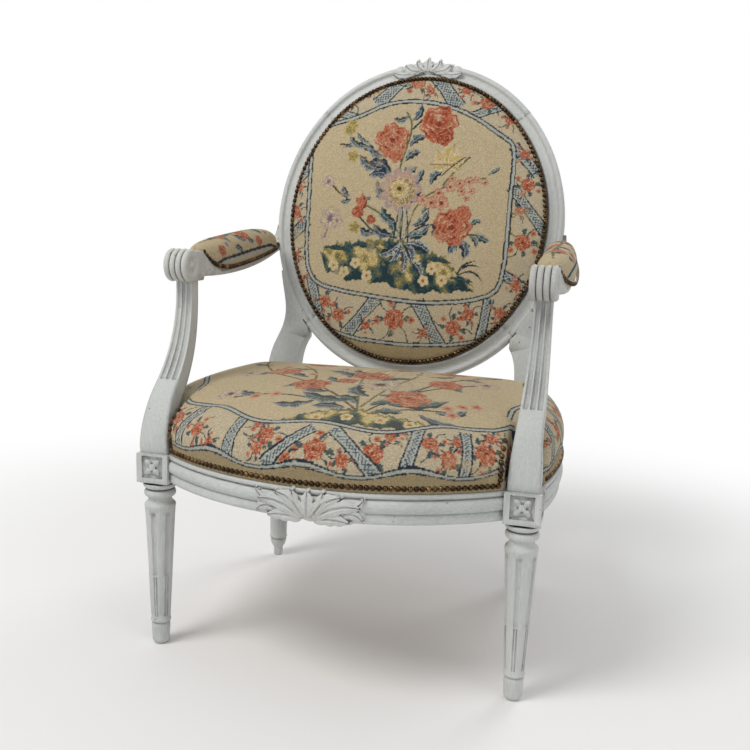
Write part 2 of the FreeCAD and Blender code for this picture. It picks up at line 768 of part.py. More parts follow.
def seat_form(inward):
    """The cushion's outer form, or the form inside it at a distance."""
    wires = []
    for z, front, side, rear, corner in seat_levels:
        up = (z - rail_top) / (crown_top - rail_top)
        level = z - inward * up ** 2 * 1.2 - (inward if z < crown_base - 20 else 0)
        draw = inward * (1 - 0.5 * up ** 2)
        wires.append(seat_outline(front + draw, side + draw, rear + draw, corner, level))
    return loft(wires)


def seat_notches(gap):
    """Room for the arm supports and the rear posts, cut from the cushion's corners."""
    def at(y, z):
        return behind(front_faces[0] - gap, y, z)
    ends = [(-70, 290), (front_block / 2 + gap, 290), (front_block / 2 + gap, 338),
            (34 + gap, 352), (63 + gap, 390), (96 + gap, 440), (-70, 440)]
    outline = [at(y, z) for y, z in ends]
    front = Part.Face(Part.makePolygon(outline + outline[:1])).extrude(Vec(90, 0, 0))
    rear = box(198 - gap, 330, rear_faces[2] - gap, rear_faces[3] + 60, 290, 440)
    return Part.makeCompound([front, mirror_x(front), rear, mirror_x(rear)])


layer_top = deck + 2 * strap_thickness + hessian_thickness


def seat_stuffing():
    body = seat_form(cloth + cover_gap).cut(box(-400, 400, -400, 400, 280, layer_top))
    return largest(body.cut(seat_notches(notch_gap + cloth + cover_gap)))


def seat_cover():
    outer = seat_form(0).cut(seat_notches(notch_gap))
    hollow = seat_form(cloth).cut(seat_notches(notch_gap + cloth))
    return largest(outer.cut(hollow))


def seat_sheet(inset, z, thickness):
    """A flat sheet to the seat's plan, clear of the legs and supports."""
    face = Part.Face(seat_outline(inset, inset, inset, 30, z))
    return face.extrude(Vec(0, 0, thickness)).cut(seat_notches(notch_gap + cloth + cover_gap))


sheet_inset = tack_step + 3.0
length_straps = (-184, -92, 0, 92, 184)
cross_straps = (60, 140, 220, 300)


def straps(places, lengthwise, z):
    area = seat_sheet(sheet_inset, z, strap_thickness)
    half = strap_width / 2
    bands = []
    for place in places:
        if lengthwise:
            band = box(place - half, place + half, -500, 500, z, z + strap_thickness)
        else:
            y = place + leg_line_y
            band = box(-400, 400, y - half, y + half, z, z + strap_thickness)
        bands.append(largest(area.common(band)))
    return Part.makeCompound(bands)


def seat_hessian():
    return largest(seat_sheet(sheet_inset, deck + 2 * strap_thickness, hessian_thickness))


def corner_block(front):
    """A glue block that braces one corner of the seat frame from inside."""
    inset = rail_thickness + cover_gap
    room = Part.Face(seat_outline(inset, inset, inset, 12, rail_bottom + 4))
    room = room.extrude(Vec(0, 0, rail_top - rail_bottom - 8))
    if front:
        corner, reach, sign = (front_faces[0], front_faces[3]), 58, 1
    else:
        corner, reach, sign = (rear_faces[0], rear_faces[2]), 52, -1
    x, y = corner
    low_z, high_z = rail_bottom, rail_top
    points = [Vec(x - reach, y - sign * 60, low_z), Vec(x - reach, y, low_z),
              Vec(x, y + sign * reach, low_z), Vec(x + 60, y + sign * reach, low_z),
              Vec(x + 60, y - sign * 60, low_z)]
    wedge = Part.Face(Part.makePolygon(points + points[:1])).extrude(Vec(0, 0, high_z - low_z))
    faces = front_faces if front else rear_faces
    leg_space = box(faces[0], 400, *((-400, faces[3]) if front else (faces[2], 400)),
                    low_z - 1, high_z + 1)
    return largest(room.common(wedge).cut(leg_space))


# Upholstery of the back, in the upright oval's frame.
dome_levels = [                # y, then inset from the inner edge of the ring's face
    (-2.6, 1.1), (-6.3, 3.0), (-8.4, 8.0), (-12.5, 21.0), (-19.0, 54.0), (-25.0, 104.0),
    (-28.6, 156.0), (-29.6, 190.0)]


def dome_line(inward, rear):
    """Half section of the dome, from its rear edge over the front to the middle."""
    deepest = dome_levels[-1][0]
    points = []
    for y, inset in dome_levels:
        out = y / deepest
        reach = back_half_width - ring_face - inset - inward * (1 - 0.5 * out)
        points.append(Vec(reach, y + inward * out, 0))
    edge = Vec(points[0].x, rear, 0)
    middle = Vec(0, points[-1].y, 0)
    return edge, middle, [Part.makeLine(edge, points[0]), spline(points),
                          Part.makeLine(points[-1], middle)]


def turned_oval(edges):
    """A section turned about the oval's middle and stretched to the oval's height."""
    round_form = face_of(edges).revolve(Vec(0, 0, 0), Vec(0, 1, 0), 360)
    stretch = FreeCAD.Matrix()
    stretch.A33 = (back_half_height - ring_face) / (back_half_width - ring_face)
    return round_form.transformGeometry(stretch)


rest_front = ring_rebate - 2 * strap_thickness - hessian_thickness


def back_cover():
    rear = ring_rebate - 0.2
    outer_edge, outer_middle, outer = dome_line(0, rear)
    inner_edge, inner_middle, inner = dome_line(cloth, rear)
    ends = [Part.makeLine(outer_edge, inner_edge), Part.makeLine(outer_middle, inner_middle)]
    return turned_oval(outer + inner + ends).Solids[0]


def back_stuffing():
    edge, middle, outline = dome_line(cloth + cover_gap, rest_front)
    rear_middle = Vec(0, rest_front, 0)
    ends = [Part.makeLine(edge, rear_middle), Part.makeLine(rear_middle, middle)]
    return turned_oval(outline + ends).Solids[0]


def back_straps():
    inset = ring_face + 0.6 + cloth + 2 * cover_gap
    bands = []
    for upright, front in ((True, ring_rebate - strap_thickness),
                           (False, ring_rebate - 2 * strap_thickness)):
        area = oval_plate(inset, front, front + strap_thickness)
        for place in (-156, -78, 0, 78, 156):
            ends = (place - strap_width / 2, place + strap_width / 2)
            spans = ends + (front - 1, front + 5, -400, 400) if upright else (
                -400, 400, front - 1, front + 5) + ends
            bands.append(area.common(box(*spans)))
    return bands


def back_hessian():
    inset = ring_face + 0.6 + cloth + 2 * cover_gap
    return oval_plate(inset, rest_front, rest_front + hessian_thickness)


outside_inset = 20.0


def back_outside_cover():
    plate = oval_plate(outside_inset, ring_depth, ring_depth + cloth)
    rim = [e for e in plate.Edges if abs(e.BoundBox.YMin - ring_depth - cloth) < 1e-6]
    return plate.makeChamfer(1.0, rim)


# Arm pads.
pad_stations = [               # y, centre x, half width, bottom, top
    (120, 272, 12, 584, 599), (142, 273, 21, 565, 605), (172, 275, 27.5, 557, 610),
    (236, 276, 29.5, 557, 616.5), (310, 273.5, 29, 565, 623), (376, 270, 26, 575, 625.5),
    (414, 268, 19.5, 582, 620), (434, 266.5, 9, 587, 609)]


def pad_section(station, inward):
    y, x, half, bottom, top = station
    half -= inward
    top -= inward
    waist = bottom + 0.42 * (top - bottom)
    left, right = behind(x - half * 0.82, y, bottom), behind(x + half * 0.82, y, bottom)
    far_left, far_right = behind(x - half * 0.72, y, top - half * 0.3), behind(
        x + half * 0.72, y, top - half * 0.3)
    return Part.Wire([Part.makeLine(left, right),
                      Part.Arc(right, behind(x + half, y, waist), far_right).toShape(),
                      Part.Arc(far_right, behind(x, y, top), far_left).toShape(),
                      Part.Arc(far_left, behind(x - half, y, waist), left).toShape()])


def pad_form(inward):
    """The pad's outer form, or the form inside it, standing on the wood of the arm."""
    form = loft([pad_section(station, inward) for station in pad_stations])
    curve = [behind(0, y, z + cover_gap) for y, z in arm_seat]
    low_front, low_back = behind(0, arm_seat[0][0], 500), behind(0, arm_seat[-1][0] + 30, 500)
    high_back = Vec(curve[-1].x, low_back.y, curve[-1].z + 3)
    wood = face_of([bezier(curve[:3]), bezier(curve[2:]), Part.makeLine(curve[-1], high_back),
                    Part.makeLine(high_back, low_back), Part.makeLine(low_back, low_front),
                    Part.makeLine(low_front, curve[0])])
    return largest(form.cut(wood.extrude(Vec(400, 0, 0))))


def pad_cover():
    inner = pad_form(cloth)
    ends = box(0, 400, *[leg_line_y + y for y in (pad_stations[0][0] + cloth,
                                                   pad_stations[-1][0] - cloth)], 500, 700)
    return largest(pad_form(0).cut(inner.common(ends)))


def pad_stuffing():
    ends = box(0, 400, *[leg_line_y + y for y in (pad_stations[0][0] + cloth + cover_gap,
                                                   pad_stations[-1][0] - cloth - cover_gap)],
               500, 700)
    return largest(pad_form(cloth + cover_gap).common(ends))


# Nails.
def nail(point, out):
    """A round-headed nail's head, resting on the cloth at a point and facing outwards."""
    cap = nail_rise - nail_rim
    ball = (nail_radius ** 2 + cap ** 2) / (2 * cap)
    half_turn = math.asin(nail_radius / ball) / 2
    middle = Vec(ball * sin(half_turn), 0, nail_rise - ball + ball * cos(half_turn))
    section = face_of(path_edges([Vec(0, 0, 0), Vec(nail_radius, 0, 0),
                                  Vec(nail_radius, 0, nail_rim),
                                  (middle, Vec(0, 0, nail_rise))]))
    head = section.revolve(Vec(0, 0, 0), Vec(0, 0, 1), 360)
    head.Placement = FreeCAD.Placement(point, FreeCAD.Rotation(Vec(0, 0, 1), out))
    return head


def seat_nails():
    z = rail_top + nail_row + nail_radius
    heads = []
    spans = [(front_circle, (-front_faces[0] + 5, leg_line_y - 22), (front_faces[0] - 5, leg_line_y - 22)),
             (right_circle, (292, front_faces[3] + 7), (262, rear_faces[2] - 7)),
             (rear_circle, (rear_faces[0] - 7, rear_leg_y + 20), (-rear_faces[0] + 7, rear_leg_y + 20))]
    for circle, first, last in spans:
        (cx, cy), radius = circle
        radius -= 1.2
        start, end = rad(direction(circle, first)), rad(direction(circle, last))
        count = int(abs(end - start) * radius / nail_pitch)
        for k in range(count):
            angle = start + (end - start) * (k + 0.5) / count
            out = Vec(cos(angle), sin(angle), 0)
            heads.append(nail(Vec(cx, cy, z) + out * radius, out))
        if circle is right_circle:
            heads += [mirror_x(head) for head in heads[-count:]]
    return Part.makeCompound(heads + corner_nails(z))


def front_inset(z):
    """How far the cushion's front stands behind the front line at a height."""
    for low_level, high_level in zip(seat_levels, seat_levels[1:]):
        if z <= high_level[0]:
            share = (z - low_level[0]) / (high_level[0] - low_level[0])
            return low_level[1] + (high_level[1] - low_level[1]) * share
    return seat_levels[-1][1]


def corner_nails(z):
    """Nails up the cushion's front, along the inner edge of each arm support."""
    heads = []
    (cx, cy), radius = front_circle
    x = front_faces[0] - notch_gap - nail_radius - 0.6
    for k in range(1, corner_nail_count + 1):
        level = z + k * nail_pitch
        reach = radius - front_inset(level) + 0.4
        y = cy - math.sqrt(reach ** 2 - x ** 2)
        slope = (front_inset(level + 4) - front_inset(level - 4)) / 8
        head = nail(Vec(x, y, level), Vec((x - cx) / reach, (y - cy) / reach, slope))
        heads += [head, mirror_x(head)]
    return heads


def oval_nails(inset, y, out_y, spread):
    heads = []
    count = int(2 * math.pi * (back_half_width + back_half_height - 2 * inset) / 2 / nail_pitch)
    for k in range(count):
        point, normal = oval_point(360.0 * (k + 0.5) / count, inset)
        out = Vec(normal.x * spread, out_y, normal.z * spread)
        heads.append(nail(point + Vec(0, y, 0), out))
    return Part.makeCompound(heads)


def pad_nails():
    """Nails along both lower edges of the pad."""
    heads = []
    for sign in (-1, 1):
        points = [behind(x + sign * (half * 0.9 + 2.6), y, bottom + 7.4 + nail_radius)
                  for y, x, half, bottom, top in pad_stations]
        curve = Part.BSplineCurve()
        curve.interpolate(points)
        edge = curve.toShape()
        count = int(edge.Length / nail_pitch)
        for k in range(count):
            point = edge.valueAt(edge.getParameterByLength(edge.Length * (k + 0.5) / count))
            heads.append(nail(point, Vec(sign, 0, -0.2)))
    return Part.makeCompound(heads)


def pair(name, shape):
    """Writes a piece of the right side and its mirror image for the left."""
    export(name + "_right", shape)
    export(name + "_left", mirror_x(shape))


def both_sides(items):
    solids = [rod(item) for item in items]
    return solids + [mirror_x(solid) for solid in solids]


os.makedirs("parts", exist_ok=True)
pair("front_leg", front_leg())
pair("rear_post", rear_post())
export("front_rail", front_rail())
pair("side_rail", side_rail())
export("rear_rail", rear_rail())
export("back_crest_rail", leaned(crest_rail()))
export("back_lower_rail", leaned(lower_rail()))
pair("arm_support", arm_support())
pair("arm", arm())
for name, front in (("front_corner_blocks", True), ("rear_corner_blocks", False)):
    brace = corner_block(front)
    export(name, Part.makeCompound([brace, mirror_x(brace)]))
export("tenon_pegs", Part.makeCompound(both_sides(front_pegs + rear_pegs)))
export("back_dowels", leaned(Part.makeCompound([rod(item) for item in ring_dowels()])))
export("arm_dowels", Part.makeCompound(both_sides([support_dowel] + arm_dowels)))
export("seat_webbing_lengthwise", straps(length_straps, True, deck))
export("seat_webbing_crosswise", straps(cross_straps, False, deck + strap_thickness))
export("seat_hessian", seat_hessian())
export("seat_stuffing", seat_stuffing())
export("seat_cover", seat_cover())
export("seat_nails", seat_nails())
export("back_webbing", leaned(Part.makeCompound(back_straps())))
export("back_hessian", leaned(back_hessian()))
export("back_stuffing", leaned(back_stuffing()))
export("back_cover", leaned(back_cover()))
export("back_nails", leaned(oval_nails(ring_face + nail_radius + 1.2, -8.3, -1, 0.3)))
export("back_outside_cover", leaned(back_outside_cover()))
export("back_outside_nails", leaned(oval_nails(outside_inset + nail_radius + 1,
                                               ring_depth + cloth, 1, 0)))
pair("arm_pad_stuffing", pad_stuffing())
pair("arm_pad_cover", pad_cover())
pair("arm_pad_nails", pad_nails())
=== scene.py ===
import bpy
import bmesh
import math
import numpy as np
from mathutils import Matrix, Vector


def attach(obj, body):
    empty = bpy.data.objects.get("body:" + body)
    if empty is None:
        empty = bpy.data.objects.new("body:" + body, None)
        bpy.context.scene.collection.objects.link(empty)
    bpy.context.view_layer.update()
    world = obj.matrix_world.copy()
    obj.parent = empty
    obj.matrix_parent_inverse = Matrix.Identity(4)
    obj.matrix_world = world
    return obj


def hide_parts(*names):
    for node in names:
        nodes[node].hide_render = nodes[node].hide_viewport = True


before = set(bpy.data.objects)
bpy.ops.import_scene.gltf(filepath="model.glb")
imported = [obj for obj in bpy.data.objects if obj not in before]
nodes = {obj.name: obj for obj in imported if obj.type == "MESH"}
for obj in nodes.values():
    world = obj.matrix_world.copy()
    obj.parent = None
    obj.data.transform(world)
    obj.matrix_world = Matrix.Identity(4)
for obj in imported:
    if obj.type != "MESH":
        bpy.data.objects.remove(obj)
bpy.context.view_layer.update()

print("frame loaded:", len(nodes), "nodes")


# camera, at the photograph's viewing angle
view = dict(place=(0.3830, -1.4510, 0.6610), azimuth=14.87, pitch=9.81, roll=1.87, lens=45.12)

a, e, r = (math.radians(view[k]) for k in ("azimuth", "pitch", "roll"))
back = Vector((math.sin(a) * math.cos(e), -math.cos(a) * math.cos(e), math.sin(e)))
level = Vector((math.cos(a), math.sin(a), 0))
up = back.cross(level)
right = math.cos(r) * level + math.sin(r) * up
lens = bpy.data.cameras.new("viewCamera")
lens.lens = view["lens"]
lens.sensor_width = 36
lens.clip_start = 0.05
camera = bpy.data.objects.new("viewCamera", lens)
camera.matrix_world = Matrix((right, back.cross(right), back)).transposed().to_4x4()
camera.location = view["place"]
bpy.context.scene.collection.objects.link(camera)
bpy.context.scene.camera = camera
bpy.context.scene.view_settings.view_transform = "Standard"


# shader sockets as values
class Wire:
    def __init__(self, finish, socket):
        self.finish, self.socket = finish, socket

    def sum(self, operation, *others):
        return self.finish.node("Math", dict(operation=operation), dict(enumerate((self,) + others)))

    def __add__(self, other): return self.sum("ADD", other)
    def __radd__(self, other): return self.sum("ADD", other)
    def __sub__(self, other): return self.sum("SUBTRACT", other)
    def __rsub__(self, other): return (self * -1) + other
    def __mul__(self, other): return self.sum("MULTIPLY", other)
    def __rmul__(self, other): return self.sum("MULTIPLY", other)

    def fade(self, low, high):  # 0 below low, 1 above high
        settings = dict(interpolation_type="SMOOTHSTEP")
        return self.finish.node("MapRange", settings, {0: self, 1: low, 2: high})


class Finish:
    def __init__(self, name, roughness=0.6, **constants):
        self.material = bpy.data.materials.new(name)
        self.material.use_nodes = True
        self.tree = self.material.node_tree
        self.shader = self.tree.nodes["Principled BSDF"]
        self.shader.inputs["Roughness"].default_value = roughness
        for socket, value in constants.items():
            self.shader.inputs[socket.replace("_", " ")].default_value = value
        self.place = self.node("TexCoord", out="Object")

    def node(self, kind, settings={}, inputs={}, out=0):
        node = self.tree.nodes.new("ShaderNode" + kind)
        for key, value in settings.items():
            setattr(node, key, value)
        for key, value in inputs.items():
            self.feed(node.inputs[key], value)
        return Wire(self, node.outputs[out])

    def feed(self, socket, value):
        if isinstance(value, Wire):
            self.tree.links.new(value.socket, socket)
        elif isinstance(value, tuple) and len(value) == 3 and socket.type == "RGBA":
            socket.default_value = (*value, 1)
        else:
            socket.default_value = value

    def set(self, **inputs):
        for key, value in inputs.items():
            self.feed(self.shader.inputs[key.replace("_", " ")], value)

    def hollow(self, reach, inside=False):
        settings = dict(samples=6, only_local=True, inside=inside)
        return self.node("AmbientOcclusion", settings, {"Distance": reach}, out=1)

    def noise(self, scale, detail=3.0, stretch=None, rough=0.5):
        place = self.place
        if stretch:
            place = self.node("Mapping", inputs={"Vector": place, "Scale": stretch})
        return self.node("TexNoise", inputs={"Vector": place, "Scale": scale, "Detail": detail,
                                             "Roughness": rough})

    def mix(self, low, high, share):
        return self.node("Mix", dict(data_type="RGBA"), {0: share, 6: low, 7: high}, out=2)

    def bump(self, height, depth, strength=1.0, normal=None):
        inputs = {"Height": height, "Distance": depth, "Strength": strength}
        if normal:
            inputs["Normal"] = normal
        return self.node("Bump", inputs=inputs)


def tone(red, green, blue):  # a colour as it looks, 0 to 255
    def linear(c):
        c /= 255
        return c / 12.92 if c < 0.04045 else ((c + 0.055) / 1.055) ** 2.4
    return (linear(red), linear(green), linear(blue))


# old grey paint over beech, darkened in its hollows by grime and painted shade, and near other parts by dust
# and painted shade
paint = dict(light=tone(200, 202, 199), shade=tone(176, 179, 177), grooveDirtShade=tone(56, 50, 44),
             wood=tone(134, 104, 74), dustShadeTone=tone(128, 118, 104), streaks=(12, 12, 1), wear=0.0, rub=0.75,
             dirtNear=0.007, dustShadeReach=0.022, edgeNear=0.004, rounding=0.0009, relief=0.0006)


def paintedWood(name, **changes):
    p = {**paint, **changes}
    f = Finish(name, Specular_IOR_Level=0.35)
    broad = f.noise(5, 2)
    brushed = f.noise(45, 4, p["streaks"])
    patchy = f.noise(26, 5, rough=0.65)
    fine = f.noise(420, 2)
    body = f.mix(p["shade"], p["light"], (broad * 0.6 + brushed * 0.5).fade(0.35, 0.75))
    hollow, deep, edge = f.hollow(p["dirtNear"]), f.hollow(p["dustShadeReach"]), f.hollow(p["edgeNear"], True)
    # grime and painted shade in the hollows: darker where the occlusion mask finds surfaces close by, broken up
    # by noise
    dirt = ((1 - hollow) * 1.5 + (patchy - 0.5) * 0.5).fade(0.34, 0.86)
    # dust and painted shade: a darker brown where other parts come within about two centimetres, broken up by
    # noise
    dustAndShade = ((1 - deep) * 0.9 + (patchy - 0.5) * 0.55).fade(0.30, 0.80)
    rubbed = ((1 - edge) * 0.62 + patchy * 0.75 + p["wear"]).fade(0.80, 0.86)
    chips = (f.noise(75, 6, rough=0.7) + p["wear"] * 0.35).fade(0.67, 0.69)
    # lays the brown of dust, with its painted shade, over the paint
    body = f.mix(body, p["dustShadeTone"], dustAndShade * 0.68)
    body = f.mix(body, p["wood"], rubbed * p["rub"])
    # lays the dark grime colour, with its painted shade, into the hollows
    body = f.mix(body, p["grooveDirtShade"], dirt * 0.9)
    body = f.mix(body, p["wood"], chips * 0.8)
    rounded = f.node("Bevel", dict(samples=4), {"Radius": p["rounding"]})
    height = brushed * 0.5 + fine * 0.12 - chips * 0.6 - rubbed * 0.3
    f.set(Base_Color=body, Roughness=0.46 + patchy * 0.2 + dirt * 0.2,
          Normal=f.bump(height, p["relief"], 0.9, rounded))
    return f.material


upright = paintedWood("greyPaintUpright")
lengthwise = paintedWood("greyPaintLengthwise", streaks=(1, 9, 9))
sideways = paintedWood("greyPaintSideways", streaks=(9, 1, 9))
rubbedPaint = paintedWood("greyPaintRubbed", streaks=(9, 2, 9), wear=0.05,
                          light=tone(198, 199, 195), shade=tone(174, 174, 170))


# the other finishes
def bareWood():
    f = Finish("dryBeech", 0.7)
    grain = f.noise(30, 5, (12, 1, 12))
    flecks = f.noise(300, 2, (6, 1, 6))
    f.set(Base_Color=f.mix(tone(150, 112, 74), tone(190, 152, 108), grain * 0.7 + flecks * 0.3),
          Normal=f.bump(grain + flecks * 0.3, 0.0008))
    return f.material


def darkBrass():
    f = Finish("oldBrassNails", 0.3, Metallic=1.0)
    blotch = f.noise(140, 3)
    spots = f.noise(700, 3)
    worn = f.noise(60, 2)
    body = f.mix(tone(58, 44, 32), tone(142, 112, 72), (blotch * 0.7 + worn * 0.5).fade(0.55, 0.85))
    f.set(Base_Color=f.mix(body, tone(40, 28, 20), spots.fade(0.56, 0.66)),
          Roughness=0.2 + spots * 0.25, Normal=f.bump(spots, 0.0002, 0.6))
    return f.material


def wovenCloth(name, light, dark, pitch, depth=0.0004, slubs=0.5):
    f = Finish(name, 0.92, Specular_IOR_Level=0.15, Sheen_Weight=0.08)
    split = f.node("SeparateXYZ", inputs={0: f.place})
    turns = math.pi / pitch
    threads = [(Wire(f, split.socket.node.outputs[k]) * turns).sum("SINE") for k in range(3)]
    weave = threads[0] * threads[2] + threads[1] * threads[0] + threads[1] * threads[2]
    slub = f.noise(160, 3, (1, 1, 9)) * 0.5 + f.noise(160, 3, (9, 9, 1)) * 0.5
    soil = f.noise(9, 3)
    body = f.mix(dark, light, (slub * slubs + soil * 0.6 + weave * 0.08).fade(0.25, 0.85))
    f.set(Base_Color=body, Normal=f.bump(weave * 0.5 + slub, depth))
    return f.material


needle = dict(pitch=0.0016, relief=0.0006)


def needleCloth():
    f = Finish("woolNeedlepoint", 0.95, Specular_IOR_Level=0.12, Sheen_Weight=0.06)
    picture = f.node("Attribute", dict(attribute_name="wool"))
    cloth = f.node("Attribute", dict(attribute_name="cloth"), out=1)
    split = f.node("SeparateXYZ", inputs={0: cloth})
    across = (split * (math.pi / needle["pitch"])).sum("SINE")
    along = (Wire(f, split.socket.node.outputs[1]) * (math.pi / needle["pitch"])).sum("SINE")
    stitch = (across * along).sum("ABSOLUTE")
    yarn = f.node("TexNoise", inputs={"Vector": cloth, "Scale": 520, "Detail": 2})
    faded = f.noise(7, 3)
    worn = f.noise(34, 5, rough=0.7)
    body = f.mix(picture, tone(206, 186, 146), (worn + faded * 0.3).fade(0.72, 0.86) * 0.5)
    shaded = f.mix(tone(92, 78, 58), (1.0, 1.0, 1.0), 0.62 + stitch * 0.26 + (yarn - 0.5) * 0.9)
    body = f.node("Mix", dict(data_type="RGBA", blend_type="MULTIPLY"), {0: 1.0, 6: body, 7: shaded}, out=2)
    f.set(Base_Color=body, Normal=f.bump(stitch * 0.7 + yarn * 0.5, needle["relief"], 0.8))
    return f.material


beech, brass, needlepoint = bareWood(), darkBrass(), needleCloth()
linen = wovenCloth("plainLinen", tone(206, 190, 156), tone(160, 140, 106), 0.0012)
jute = wovenCloth("juteWebbing", tone(178, 146, 100), tone(110, 84, 52), 0.0022, 0.0009, 0.9)
sacking = wovenCloth("hessianCloth", tone(172, 140, 92), tone(104, 78, 48), 0.0016, 0.0007, 0.9)
print("finishes made")


# mesh helpers
def merged(name):
    bm = bmesh.new()
    bm.from_mesh(nodes[name].data)
    bmesh.ops.remove_doubles(bm, verts=bm.verts, dist=2e-5)
    return bm


def shown(mesh, title, material, stands=(), sharp=35):
    mesh.name = title
    mesh.materials.clear()
    mesh.materials.append(material)
    mesh.shade_smooth()
    if sharp:
        mesh.set_sharp_from_angle(angle=math.radians(sharp))
    piece = bpy.data.objects.new(title, mesh)
    bpy.context.scene.collection.objects.link(piece)
    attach(piece, "root")
    if stands:
        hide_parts(*stands)
    return piece


def asMesh(bm, title):
    mesh = bpy.data.meshes.new(title)
    bm.to_mesh(mesh)
    bm.free()
    return mesh


def points(mesh):
    co = np.empty(len(mesh.vertices) * 3, np.float32)
    mesh.vertices.foreach_get("co", co)
    return co.reshape(-1, 3).astype(float)


def setPoints(mesh, co):
    mesh.vertices.foreach_set("co", co.astype(np.float32).ravel())
    mesh.update()


def evaluated(mesh, *settings):
    # the mesh after the modifiers, given as (type, dictionary of its settings)
    holder = bpy.data.objects.new("holder", mesh)
    bpy.context.scene.collection.objects.link(holder)
    for kind, values in settings:
        modifier = holder.modifiers.new(kind, kind)
        for key, value in values.items():
            setattr(modifier, key, value)
    graph = bpy.context.evaluated_depsgraph_get()
    result = bpy.data.meshes.new_from_object(holder.evaluated_get(graph))
    bpy.data.objects.remove(holder)
    return result


# the wooden frame, painted
woodwork = dict(
    upright=["front_leg_right", "front_leg_left", "arm_support_right", "arm_support_left",
             "rear_post_right", "rear_post_left"],
    sideways=["side_rail_right", "side_rail_left"],
    lengthwise=["front_rail", "rear_rail", "back_crest_rail", "back_lower_rail"],
    rubbed=["arm_right", "arm_left"],
    bare=["front_corner_blocks", "rear_corner_blocks", "tenon_pegs", "back_dowels", "arm_dowels"])
woodFinish = dict(upright=upright, sideways=sideways, lengthwise=lengthwise, rubbed=rubbedPaint,
                  bare=beech)

for finish, names in woodwork.items():
    slot = "bare_beech" if finish == "bare" else "painted_beech"
    for name in names:
        shown(asMesh(merged(name), name), name + "_wood", woodFinish[finish], [name])
print("woodwork dressed")


# round-headed nails, one low dome where each one sits
nailHead = dict(radius=0.0041, rise=0.0040, sides=10, rings=3, brim=0.0004, twist=1.7)


def nailShape():
    bm = bmesh.new()
    bmesh.ops.create_uvsphere(bm, u_segments=nailHead["sides"], v_segments=nailHead["rings"] * 2, radius=1)
    low = [v for v in bm.verts if v.co.z < -0.01]
    bmesh.ops.delete(bm, geom=low, context="VERTS")
    bmesh.ops.holes_fill(bm, edges=[e for e in bm.edges if e.is_boundary], sides=0)
    bmesh.ops.scale(bm, verts=bm.verts, vec=(nailHead["radius"],) * 2 + (nailHead["rise"],))
    bmesh.ops.recalc_face_normals(bm, faces=bm.faces)
    return asMesh(bm, "nailHead")


def islands(bm):
    # the separate solids of a merged mesh, as arrays of their points
    seen, groups = set(), []
    for vert in bm.verts:
        if vert.index in seen:
            continue
        seen.add(vert.index)
        stack, found = [vert], []
        while stack:
            v = stack.pop()
            found.append(v.co[:])
            for edge in v.link_edges:
                other = edge.other_vert(v)
                if other.index not in seen:
                    seen.add(other.index)
                    stack.append(other)
        groups.append(np.array(found))
    return groups


def nailRow(name):
    source = merged(name)
    source.verts.index_update()
    shape = nailShape()
    bm = bmesh.new()
    for k, cloud in enumerate(islands(source)):
        middle = cloud.mean(0)
        axis = np.linalg.svd(cloud - middle, full_matrices=False)[2][2]
        along = (cloud - middle) @ axis
        across = np.linalg.norm(cloud - middle - np.outer(along, axis), axis=1)
        top, bottom = along > along.max() - nailHead["brim"], along < along.min() + nailHead["brim"]
        if across[top].mean() > across[bottom].mean():
            axis, along = -axis, -along
        foot = Vector(middle + axis * along.min())
        spin = Matrix.Rotation(k * nailHead["twist"], 3, "Z").to_quaternion()
        turn = Vector(axis).to_track_quat("Z", "Y") @ spin
        head = shape.copy()
        head.transform(Matrix.Translation(foot) @ turn.to_matrix().to_4x4())
        bm.from_mesh(head)
        bpy.data.meshes.remove(head)
    source.free()
    return shown(asMesh(bm, name), name + "_heads", brass, [name], sharp=60)


for name in ("seat_nails", "back_nails", "back_outside_nails", "arm_pad_nails_right", "arm_pad_nails_left"):
    nailRow(name)
print("nails set")


# stuffed pieces: the CAD stuffing, remeshed, blown up under its pinned edge, and divided
def puffed(name, spec, pinned):
    mesh = evaluated(asMesh(merged(name), name),
                     ("REMESH", dict(mode="VOXEL", voxel_size=spec["cell"], use_smooth_shade=True)),
                     ("SMOOTH", dict(factor=0.5, iterations=3)))
    normals = np.array([v.normal[:] for v in mesh.vertices])
    start = points(mesh) + normals * spec["grow"]
    setPoints(mesh, start)
    held = pinned(start)
    body = bpy.data.objects.new("blown", mesh)
    bpy.context.scene.collection.objects.link(body)
    group = body.vertex_groups.new(name="edge")
    for index in np.flatnonzero(held > 0.02):
        group.add([int(index)], float(held[index]), "REPLACE")
    cloth = body.modifiers.new("Cloth", "CLOTH").settings
    cloth.quality = 6
    cloth.mass = 0.3
    cloth.vertex_group_mass = "edge"
    cloth.tension_stiffness = cloth.compression_stiffness = spec["stiff"]
    cloth.bending_stiffness = 2.0
    cloth.use_pressure = True
    cloth.uniform_pressure_force = spec["pressure"]
    cloth.effector_weights.gravity = 0
    stage = bpy.context.scene
    for frameNumber in range(1, 21):
        stage.frame_set(frameNumber)
    graph = bpy.context.evaluated_depsgraph_get()
    blown = points(body.evaluated_get(graph).to_mesh())
    bpy.data.objects.remove(body)
    stage.frame_set(1)
    move = blown - start
    length = np.linalg.norm(move, axis=1, keepdims=True)
    print(name, "moved up to", round(float(length.max()) * 1000, 1), "mm")
    cap = spec["cap"]
    setPoints(mesh, start + move * np.minimum(1, cap / np.maximum(length, 1e-9)))
    return evaluated(mesh, ("SUBSURF", dict(levels=1, render_levels=1)))


def divided(mesh, wanted):
    # splits the faces whose middles are wanted once more, for the finer picture
    bm = bmesh.new()
    bm.from_mesh(mesh)
    middles = np.array([f.calc_center_median()[:] for f in bm.faces])
    normals = np.array([f.normal[:] for f in bm.faces])
    bm.faces.ensure_lookup_table()
    edges = {e for k in np.flatnonzero(wanted(middles, normals)) for e in bm.faces[k].edges}
    bmesh.ops.subdivide_edges(bm, edges=list(edges), cuts=1, use_grid_fill=True, smooth=1.0)
    return asMesh(bm, mesh.name)


